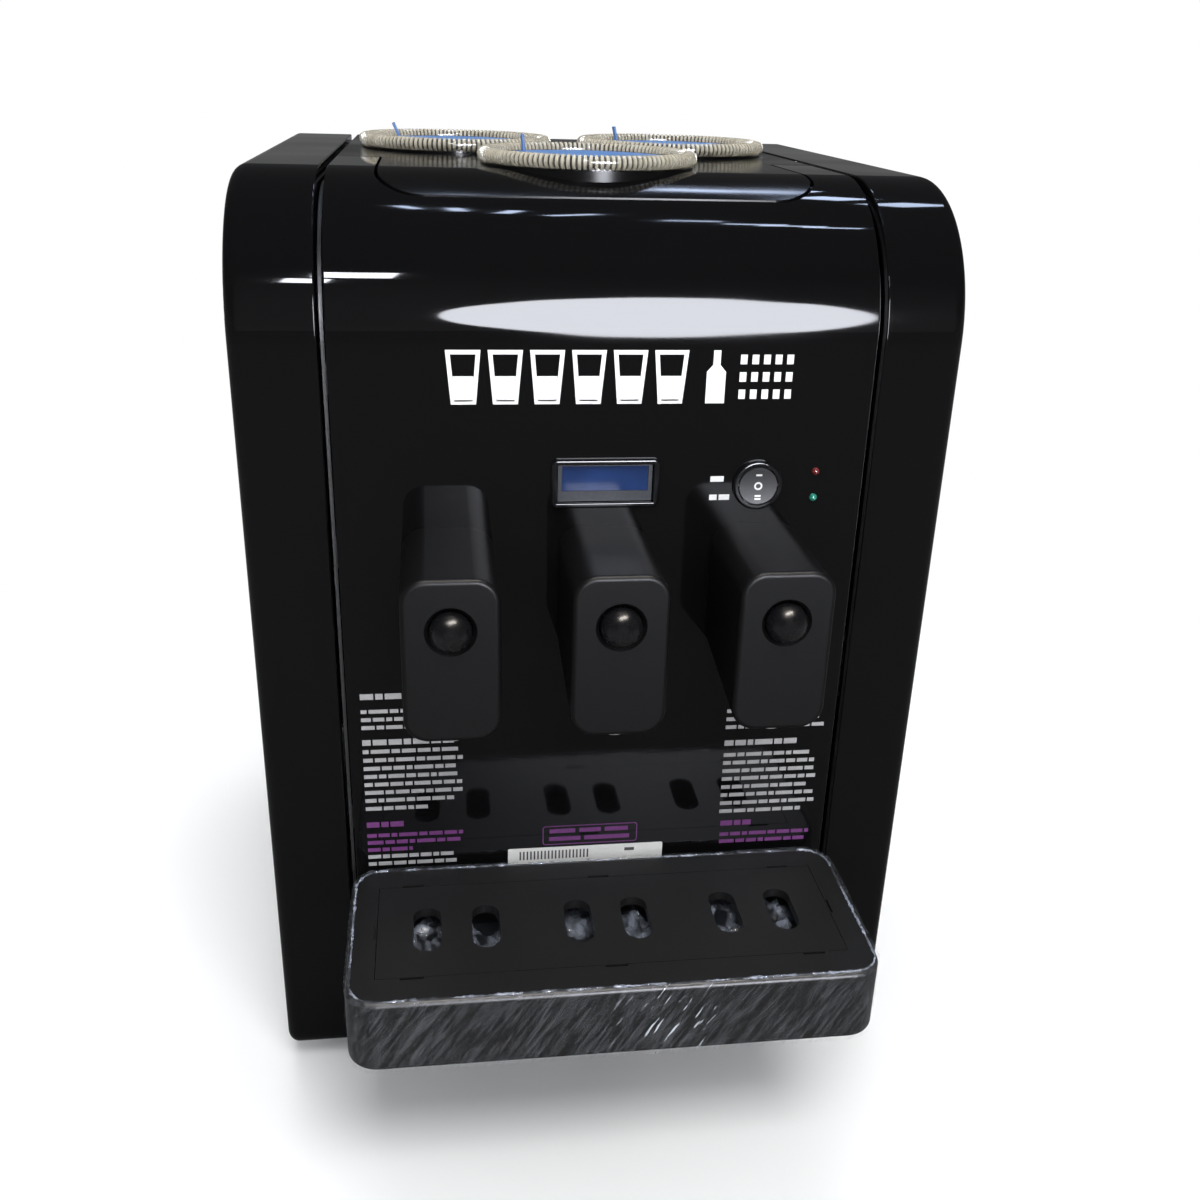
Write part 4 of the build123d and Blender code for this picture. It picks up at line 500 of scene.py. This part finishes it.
# Dust covers. A blue moulded disc with a thin pull tab closes each opening until a bottle
# is set in.
cap_blue, cap_shader = finish("cap_blue", (0.085, 0.19, 0.42), 0.42, specular=0.15)
cap_noise = grain(cap_blue, cap_shader, 500.0, 2.0, 0.00006)
tint(cap_blue, cap_shader, cap_noise, (0.075, 0.165, 0.38), (0.100, 0.215, 0.47))
wear(cap_blue, "dust_cover_front", "dust_cover_left", "dust_cover_right")


# Taps and push buttons. Satin black moulded housings with a fine spark texture, each with a
# polished ball button.
satin_black, satin_shader = finish("satin_black", (0.0040, 0.0040, 0.0044), 0.38, specular=0.10)
satin_noise = grain(satin_black, satin_shader, 2600.0, 3.0, 0.00006)
vary(satin_black, satin_shader, "Roughness", satin_noise, 0.33, 0.43)
wear(satin_black, "tap_housing_left", "tap_housing_middle", "tap_housing_right")

ball_black, ball_shader = finish("ball_black", (0.005, 0.005, 0.006), 0.26, specular=0.32)
ball_noise = grain(ball_black, ball_shader, 300.0, 2.0, 0.000003)
vary(ball_black, ball_shader, "Roughness", ball_noise, 0.24, 0.32)
wear(ball_black, "push_button_left", "push_button_middle", "push_button_right")


# Button springs. A CAD node keeps its length, so each spring is drawn again as a coil of the
# same size in the spring's place, attached to the cabinet.
coil_wire = 0.0004
coil_turns = 5
for place in ("left", "middle", "right"):
    coil_low, coil_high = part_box("button_spring_" + place)
    coil_reach = (coil_high[0] - coil_low[0]) / 2 - coil_wire
    coil_length = coil_high[1] - coil_low[1] - 2 * coil_wire
    deselect()
    bpy.ops.mesh.primitive_circle_add(
        vertices=12, radius=coil_wire, location=(coil_reach, 0.0, 0.0),
        rotation=(math.radians(90), 0.0, 0.0))
    coil = bpy.context.object
    coil.name = "drawn_spring_" + place
    settle(coil)
    winding = coil.modifiers.new("winding", "SCREW")
    winding.steps = 32
    winding.render_steps = 32
    winding.iterations = coil_turns
    winding.screw_offset = coil_length / coil_turns
    bpy.ops.object.modifier_apply(modifier=winding.name)
    bpy.ops.object.mode_set(mode="EDIT")
    bpy.ops.mesh.select_all(action="SELECT")
    bpy.ops.mesh.fill_holes(sides=0)
    bpy.ops.mesh.normals_make_consistent(inside=False)
    bpy.ops.object.mode_set(mode="OBJECT")
    coil.rotation_euler = (math.radians(-90), 0.0, 0.0)
    coil_x = (coil_low[0] + coil_high[0]) / 2
    coil_z = (coil_low[2] + coil_high[2]) / 2
    coil.location = (coil_x, coil_low[1] + coil_wire, coil_z)
    settle(coil)
    bpy.ops.object.shade_smooth()
    coil.data.materials.append(stainless)
    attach(coil, "cabinet")
    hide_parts("button_spring_" + place)
    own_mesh(coil)


# Display. A black bezel clipped into the panel holds the module's grey frame and its blue
# liquid-crystal glass.
bezel_black, bezel_shader = finish("bezel_black", (0.005, 0.005, 0.006), 0.16, specular=0.30)
bezel_noise = grain(bezel_black, bezel_shader, 120.0, 1.0, 0.00001)
vary(bezel_black, bezel_shader, "Roughness", bezel_noise, 0.10, 0.20)
wear(bezel_black, "display_bezel", "switch_bezel")

module_grey, module_shader = finish("module_grey", (0.024, 0.027, 0.036), 0.35, specular=0.25)
module_noise = grain(module_grey, module_shader, 600.0, 2.0, 0.00004)
tint(module_grey, module_shader, module_noise, (0.020, 0.023, 0.032), (0.030, 0.034, 0.044))
wear(module_grey, "display_module")

glass_blue, glass_shader = finish("display_blue", (0.014, 0.042, 0.155), 0.10, specular=0.30)
glass_noise = grain(glass_blue, glass_shader, 90.0, 1.0, 0.00002)
tint(glass_blue, glass_shader, glass_noise, (0.012, 0.036, 0.135), (0.017, 0.049, 0.180))
wear(glass_blue, "display_glass")


# Mode switch and lamps. A round three-way rocker in its bezel, and two small lamp lenses
# beside it.
rocker_black, rocker_shader = finish("rocker_black", (0.030, 0.030, 0.033), 0.45, specular=0.22)
rocker_noise = grain(rocker_black, rocker_shader, 1600.0, 2.0, 0.00005)
vary(rocker_black, rocker_shader, "Roughness", rocker_noise, 0.40, 0.52)
wear(rocker_black, "switch_rocker")

white_ink, white_shader = finish("white_ink", (0.80, 0.80, 0.80), 0.4)
white_noise = grain(white_ink, white_shader, 3000.0, 2.0, 0.00002)
tint(white_ink, white_shader, white_noise, (0.70, 0.70, 0.70), (0.86, 0.86, 0.86), 0.2, 0.6)


def plate(across, height, x, z, y):
    """A flat mark that faces the front, at its size and place."""
    deselect()
    bpy.ops.mesh.primitive_plane_add(
        size=1.0, location=(x, y, z), rotation=(math.radians(90), 0.0, 0.0))
    mark = bpy.context.object
    mark.scale = (across, height, 1.0)
    settle(mark)
    return mark


def thicken(mark, amount):
    """Gives a flat mark the thickness of its ink or card, towards the front."""
    deselect()
    mark.select_set(True)
    bpy.context.view_layer.objects.active = mark
    ink = mark.modifiers.new("ink", "SOLIDIFY")
    ink.thickness = amount
    ink.offset = 1.0
    bpy.ops.object.modifier_apply(modifier="ink")


switch_x = 0.0698
switch_z = 0.3226
rocker_face = -0.1154
dash = plate(0.0028, 0.0009, switch_x, switch_z + 0.0052, rocker_face)
dash_upper = plate(0.0028, 0.0008, switch_x, switch_z - 0.0046, rocker_face)
dash_lower = plate(0.0028, 0.0008, switch_x, switch_z - 0.0060, rocker_face)
deselect()
bpy.ops.mesh.primitive_circle_add(
    radius=0.0019, vertices=40, fill_type="NGON", location=(switch_x, rocker_face, switch_z),
    rotation=(math.radians(90), 0.0, 0.0))
centre_ring = bpy.context.object
bpy.ops.object.mode_set(mode="EDIT")
bpy.ops.mesh.inset(thickness=0.0008)
bpy.ops.mesh.delete(type="FACE")
bpy.ops.object.mode_set(mode="OBJECT")
rocker_marks = unite([dash, dash_upper, dash_lower, centre_ring], "rocker_marks")
bpy.ops.object.mode_set(mode="EDIT")
bpy.ops.mesh.select_all(action="SELECT")
bpy.ops.mesh.subdivide(number_cuts=3)
bpy.ops.object.mode_set(mode="OBJECT")
hug = rocker_marks.modifiers.new("hug", "SHRINKWRAP")
hug.target = nodes["switch_rocker"]
hug.wrap_method = "PROJECT"
hug.use_project_y = True
hug.use_positive_direction = True
hug.use_negative_direction = True
hug.offset = 0.00003
bpy.ops.object.modifier_apply(modifier="hug")
thicken(rocker_marks, 0.00005)
rocker_marks.data.materials.append(white_ink)
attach(rocker_marks, "mode_rocker")

lens_red, lens_red_shader = finish("lens_red", (0.16, 0.020, 0.020), 0.15)
red_noise = grain(lens_red, lens_red_shader, 700.0, 1.0, 0.00003)
tint(lens_red, lens_red_shader, red_noise, (0.12, 0.015, 0.015), (0.20, 0.026, 0.026))
wear(lens_red, "red_lamp")

lens_green, lens_green_shader = finish("lens_green", (0.03, 0.24, 0.17), 0.15)
green_noise = grain(lens_green, lens_green_shader, 700.0, 1.0, 0.00003)
tint(lens_green, lens_green_shader, green_noise, (0.025, 0.19, 0.13), (0.035, 0.29, 0.21))
wear(lens_green, "green_lamp")


# Printed marks. White and purple ink printed straight on the front panel: a row of plain glass
# figures above, and blocks of bars on both sides of the lower panel; a white card strip below.
ink_depth = 0.00006
card_depth = 0.00012
panel_face = -0.11312
tray_top = 0.126
purple_ink, purple_shader = finish("purple_ink", (0.15, 0.034, 0.17), 0.4, specular=0.20)
purple_noise = grain(purple_ink, purple_shader, 3000.0, 2.0, 0.00002)
tint(purple_ink, purple_shader, purple_noise, (0.12, 0.028, 0.14), (0.18, 0.045, 0.20), 0.2, 0.6)


def narrow(mark, share, x, z, side=-1):
    """Narrows a flat mark's lower end, or with side 1 its upper one, and stays in edit mode."""
    select_where(mark, lambda co: (co.z - z) * side > 0.0)
    bpy.ops.transform.resize(value=(share, 1.0, 1.0), center_override=(x, panel_face, z))


glass_count = 6
glass_left = -0.0625
glass_pitch = 0.0180
glass_z = 0.3721
drink_z = 0.3671
figures = []
for count in range(glass_count):
    figure_x = glass_left + glass_pitch * count
    glass_figure = plate(0.0150, 0.0235, figure_x, glass_z, panel_face)
    narrow(glass_figure, 0.72, figure_x, glass_z)
    bpy.ops.mesh.select_all(action="SELECT")
    bpy.ops.mesh.inset(thickness=0.0019)
    bpy.ops.mesh.delete(type="FACE")
    bpy.ops.object.mode_set(mode="OBJECT")
    drink = plate(0.0089, 0.0110, figure_x, drink_z, panel_face)
    narrow(drink, 0.86, figure_x, drink_z)
    bpy.ops.object.mode_set(mode="OBJECT")
    figures += [glass_figure, drink]
bottle_x = 0.0475
shoulder_z = 0.3759
bottle_body = plate(0.0085, 0.0140, bottle_x, 0.3674, panel_face)
bottle_shoulder = plate(0.0085, 0.0030, bottle_x, shoulder_z, panel_face)
narrow(bottle_shoulder, 0.38, bottle_x, shoulder_z, side=1)
bpy.ops.object.mode_set(mode="OBJECT")
bottle_neck = plate(0.0032, 0.0064, bottle_x, 0.3806, panel_face)
figures += [bottle_body, bottle_shoulder, bottle_neck]
for row in range(3):
    for column in range(5):
        block_x = 0.0595 + 0.0052 * column
        figures.append(plate(0.0030, 0.0042, block_x, 0.3798 - 0.0077 * row, panel_face))
glass_figures = unite(figures, "glass_figures")
thicken(glass_figures, ink_depth)
glass_figures.data.materials.append(white_ink)
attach(glass_figures, "cabinet")

note_white, note_shader = finish("note_white", (0.36, 0.36, 0.37), 0.4, specular=0.20)
note_noise = grain(note_white, note_shader, 3000.0, 2.0, 0.00002)
tint(note_white, note_shader, note_noise, (0.31, 0.31, 0.32), (0.42, 0.42, 0.43), 0.2, 0.6)
word_lengths = (0.0062, 0.0035, 0.0078, 0.0046, 0.0054, 0.0028, 0.0090, 0.0040, 0.0066)
word_gap = 0.0009
shortest_word = 0.0015


def bar_rows(name, left, rows, ink):
    """Rows of short bars; a row gives its height above the tray, its length and its thickness."""
    bars = []
    word = 0
    for height, reach, tall in rows:
        start = 0.0
        while start < reach - shortest_word:
            length = min(word_lengths[word % len(word_lengths)], reach - start)
            bar_x = left + start + length / 2
            bars.append(plate(length, tall, bar_x, tray_top + height, panel_face))
            start += length + word_gap
            word += 1
    block = unite(bars, name)
    thicken(block, ink_depth)
    block.data.materials.append(ink)
    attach(block, "cabinet")


notes_left = -0.1130
bar_rows("left_bars_upper", notes_left, [
    (0.0947, 0.0330, 0.0030), (0.0868, 0.0400, 0.0020), (0.0825, 0.0380, 0.0020),
    (0.0782, 0.0400, 0.0020), (0.0701, 0.0440, 0.0030), (0.0651, 0.0470, 0.0021),
    (0.0604, 0.0475, 0.0021), (0.0558, 0.0440, 0.0021), (0.0513, 0.0460, 0.0021),
    (0.0468, 0.0470, 0.0021), (0.0423, 0.0475, 0.0021), (0.0378, 0.0430, 0.0021),
    (0.0332, 0.0300, 0.0021),
], note_white)
bar_rows("left_bars_purple", notes_left, [
    (0.0239, 0.0180, 0.0030), (0.0176, 0.0470, 0.0021), (0.0135, 0.0465, 0.0021),
    (0.0093, 0.0220, 0.0021),
], purple_ink)
bar_rows("left_bars_lower", notes_left, [
    (0.0052, 0.0420, 0.0021), (0.0010, 0.0440, 0.0021),
], note_white)
bar_rows("right_bars_upper", 0.0640, [
    (0.0890, 0.0420, 0.0030), (0.0800, 0.0470, 0.0020), (0.0755, 0.0490, 0.0020),
    (0.0710, 0.0500, 0.0020), (0.0620, 0.0370, 0.0030), (0.0552, 0.0440, 0.0021),
    (0.0506, 0.0470, 0.0021), (0.0459, 0.0490, 0.0021), (0.0413, 0.0485, 0.0021),
    (0.0365, 0.0450, 0.0021), (0.0318, 0.0480, 0.0021), (0.0270, 0.0490, 0.0021),
    (0.0222, 0.0440, 0.0021),
], note_white)
bar_rows("right_bars_purple", 0.0650, [
    (0.0150, 0.0160, 0.0030), (0.0083, 0.0470, 0.0021), (0.0040, 0.0450, 0.0021),
], purple_ink)
bar_rows("switch_bars", 0.0479, [
    (0.1995, 0.0085, 0.0026), (0.1908, 0.0093, 0.0026),
], white_ink)

purple_frame = plate(0.0482, 0.0112, -0.0022, 0.1386, panel_face)
bpy.ops.object.mode_set(mode="EDIT")
bpy.ops.mesh.select_all(action="SELECT")
bpy.ops.mesh.bevel(offset=0.0016, segments=5, affect="VERTICES")
bpy.ops.mesh.inset(thickness=0.0005)
bpy.ops.mesh.delete(type="FACE")
bpy.ops.object.mode_set(mode="OBJECT")
frame_marks = [purple_frame]
for bar_x, bar_z, bar_length in (
    (-0.0163, 0.1411, 0.0130), (-0.0022, 0.1411, 0.0110), (0.0112, 0.1411, 0.0120),
    (-0.0150, 0.1365, 0.0160), (0.0064, 0.1365, 0.0230),
):
    frame_marks.append(plate(bar_length, 0.0024, bar_x, bar_z, panel_face))
purple_frame = unite(frame_marks, "purple_frame")
thicken(purple_frame, ink_depth)
purple_frame.data.materials.append(purple_ink)
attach(purple_frame, "cabinet")

card_white, card_shader = finish("card_white", (0.74, 0.74, 0.72), 0.55)
card_noise = grain(card_white, card_shader, 1800.0, 3.0, 0.00003)
tint(card_white, card_shader, card_noise, (0.68, 0.68, 0.66), (0.78, 0.78, 0.76))
card_strip = plate(0.0790, 0.0093, -0.0042, 0.1270, panel_face)
bpy.ops.object.mode_set(mode="EDIT")
bpy.ops.mesh.select_all(action="SELECT")
bpy.ops.mesh.bevel(offset=0.0008, segments=3, affect="VERTICES")
bpy.ops.object.mode_set(mode="OBJECT")
card_strip.name = "card_strip"
thicken(card_strip, card_depth)
card_strip.data.materials.append(card_white)
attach(card_strip, "cabinet")

black_ink, black_shader = finish("black_ink", (0.02, 0.02, 0.02), 0.5)
black_noise = grain(black_ink, black_shader, 2500.0, 2.0, 0.00002)
tint(black_ink, black_shader, black_noise, (0.015, 0.015, 0.015), (0.03, 0.03, 0.03))
card_face = panel_face - card_depth
ticks = []
for count in range(20):
    ticks.append(plate(0.0008, 0.0050, -0.0375 + 0.0018 * count, 0.1272, card_face))
ticks.append(plate(0.0050, 0.0018, 0.0182, 0.1284, card_face))
strip_ticks = unite(ticks, "strip_ticks")
thicken(strip_ticks, 0.00005)
strip_ticks.data.materials.append(black_ink)
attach(strip_ticks, "cabinet")


# Drip tray and its grid. Satin black mouldings; the tray hooks into the panel by two tongues
# and lifts its grid out for washing.
tray_black, tray_shader = finish("tray_black", (0.0095, 0.0095, 0.0098), 0.36, specular=0.22)
tray_noise = grain(tray_black, tray_shader, 2200.0, 3.0, 0.00005)
vary(tray_black, tray_shader, "Roughness", tray_noise, 0.28, 0.42)
wear(tray_black, "drip_tray", "drip_grid")


# Clear film. The tray still wears the thin stretch film it was shipped in, drawn tight over its
# front and sides, gathered in a crinkled hem round the deck and bunched up below the grid. A patch
# of painted glints sits on its front.
film_clear, film_shader = finish("film_clear", (0.50, 0.53, 0.58), 0.14)
film_shader.inputs["IOR"].default_value = 1.5
tree = film_clear.node_tree
film_place = tree.nodes.new("ShaderNodeTexCoord")
film_slant = tree.nodes.new("ShaderNodeMapping")
film_slant.vector_type = "TEXTURE"
film_slant.inputs["Rotation"].default_value = (0.0, math.radians(32), 0.0)
film_slant.inputs["Scale"].default_value = (1.0, 1.0, 9.0)
tree.links.new(film_place.outputs["Object"], film_slant.inputs["Vector"])


def streaks(scale, detail, distortion):
    """Noise drawn out along the slant in which the film is stretched."""
    noise = tree.nodes.new("ShaderNodeTexNoise")
    noise.inputs["Scale"].default_value = scale
    noise.inputs["Detail"].default_value = detail
    noise.inputs["Distortion"].default_value = distortion
    tree.links.new(film_slant.outputs["Vector"], noise.inputs["Vector"])
    return noise.outputs["Fac"]


film_streaks = streaks(620.0, 5.0, 0.6)
film_folds = tree.nodes.new("ShaderNodeBump")
film_folds.inputs["Distance"].default_value = 0.0009
tree.links.new(film_streaks, film_folds.inputs["Height"])
tree.links.new(film_folds.outputs["Normal"], film_shader.inputs["Normal"])
film_veil = fade(tree, film_streaks, 0.43, 0.72, 0.006, 0.12)
# Flecks round one spot on the front where the film turns more opaque: painted glints for the
# film's sparkle.
from_glint_patch = tree.nodes.new("ShaderNodeVectorMath")
from_glint_patch.operation = "DISTANCE"
from_glint_patch.inputs[1].default_value = (0.022, -0.2152, 0.109)
tree.links.new(film_place.outputs["Object"], from_glint_patch.inputs[0])
glint_reach = fade(tree, from_glint_patch.outputs["Value"], 0.034, 0.010)
glint_edge = fade(tree, streaks(520.0, 3.0, 0.0), 0.62, 0.68)
painted_glints = calculate(tree, "MULTIPLY", glint_reach, glint_edge)
tree.links.new(calculate(tree, "MAXIMUM", film_veil, painted_glints), film_shader.inputs["Alpha"])

film_bunched, bunched_shader = finish("film_bunched", (0.44, 0.48, 0.58), 0.12)
bunched_noise = grain(film_bunched, bunched_shader, 130.0, 3.0, 0.0012, (1.0, 0.5, 1.0))
vary(film_bunched, bunched_shader, "Alpha", bunched_noise, 0.03, 0.55, 0.44, 0.62)
tray_middle = -0.16615
film_folding = bpy.data.textures.new("film_folding", "CLOUDS")
film_folding.noise_scale = 0.012


def film_band(name, base, height, width, depth, corner):
    """An upright band of film round the tray, open above and below, with round corners."""
    deselect()
    bpy.ops.mesh.primitive_cube_add(size=1.0, location=(0.0, tray_middle, base + height / 2))
    band = bpy.context.object
    band.name = name
    band.scale = (width, depth, height)
    settle(band)
    bpy.ops.object.mode_set(mode="EDIT")
    bpy.ops.mesh.select_mode(type="EDGE")
    bpy.ops.mesh.select_all(action="DESELECT")
    bpy.ops.object.mode_set(mode="OBJECT")
    for edge in band.data.edges:
        ends = [band.data.vertices[v].co for v in edge.vertices]
        edge.select = abs(ends[0].z - ends[1].z) > height / 2
    bpy.ops.object.mode_set(mode="EDIT")
    bpy.ops.mesh.bevel(offset=corner, segments=8, affect="EDGES")
    bpy.ops.mesh.select_mode(type="FACE")
    bpy.ops.mesh.select_all(action="DESELECT")
    bpy.ops.object.mode_set(mode="OBJECT")
    for face in band.data.polygons:
        face.select = abs(face.normal.z) > 0.9
    bpy.ops.object.mode_set(mode="EDIT")
    bpy.ops.mesh.delete(type="FACE")
    return band


def crumple(piece, amount, rest):
    """Folds a piece of film in and out along its normals."""
    folding = piece.modifiers.new("folding", "DISPLACE")
    folding.texture = film_folding
    folding.strength = amount
    folding.mid_level = rest
    bpy.ops.object.modifier_apply(modifier="folding")


film_base = 0.0892
film_height = 0.0374
film_top = film_base + film_height
film = film_band("tray_film", film_base, film_height, width=0.2406, depth=0.0981, corner=0.0142)
select_where(film, lambda co: co.z > film_top - film_height / 2)
bpy.ops.mesh.extrude_region_move()
bpy.ops.transform.resize(value=(0.986, 0.966, 1.0), center_override=(0.0, tray_middle, film_top))
bpy.ops.mesh.select_all(action="SELECT")
bpy.ops.mesh.subdivide(number_cuts=12)
bpy.ops.object.mode_set(mode="OBJECT")
crumple(film, amount=0.0014, rest=0.42)

longest_corner_edge = 0.02
hem = film_band("film_hem", 0.1262, 0.0007, width=0.2372, depth=0.0948, corner=0.0128)
bpy.ops.mesh.select_mode(type="EDGE")
bpy.ops.mesh.select_all(action="DESELECT")
bpy.ops.object.mode_set(mode="OBJECT")
for edge in hem.data.edges:
    ends = [hem.data.vertices[v].co for v in edge.vertices]
    edge.select = (ends[0] - ends[1]).length > longest_corner_edge
bpy.ops.object.mode_set(mode="EDIT")
bpy.ops.mesh.subdivide(number_cuts=90)
bpy.ops.mesh.select_all(action="SELECT")
bpy.ops.mesh.subdivide(number_cuts=2)
bpy.ops.object.mode_set(mode="OBJECT")
hem_wall = hem.modifiers.new("hem_wall", "SOLIDIFY")
hem_wall.thickness = 0.0008
bpy.ops.object.modifier_apply(modifier="hem_wall")
film_folding.noise_scale = 0.002
crumple(hem, amount=0.0018, rest=0.5)

film_folding.noise_scale = 0.009
deselect()
bpy.ops.mesh.primitive_grid_add(
    x_subdivisions=120, y_subdivisions=40, size=1.0, location=(0.0, tray_middle, 0.1125))
bunch = bpy.context.object
bunch.scale = (0.212, 0.066, 1.0)
settle(bunch)
crumple(bunch, amount=0.016, rest=0.5)

film.data.materials.append(film_clear)
hem.data.materials.append(film_bunched)
bunch.data.materials.append(film_bunched)
film = unite([film, hem, bunch], "tray_film")
bpy.ops.object.shade_smooth()
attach(film, "tray")
bar_edges.objects.link(film)
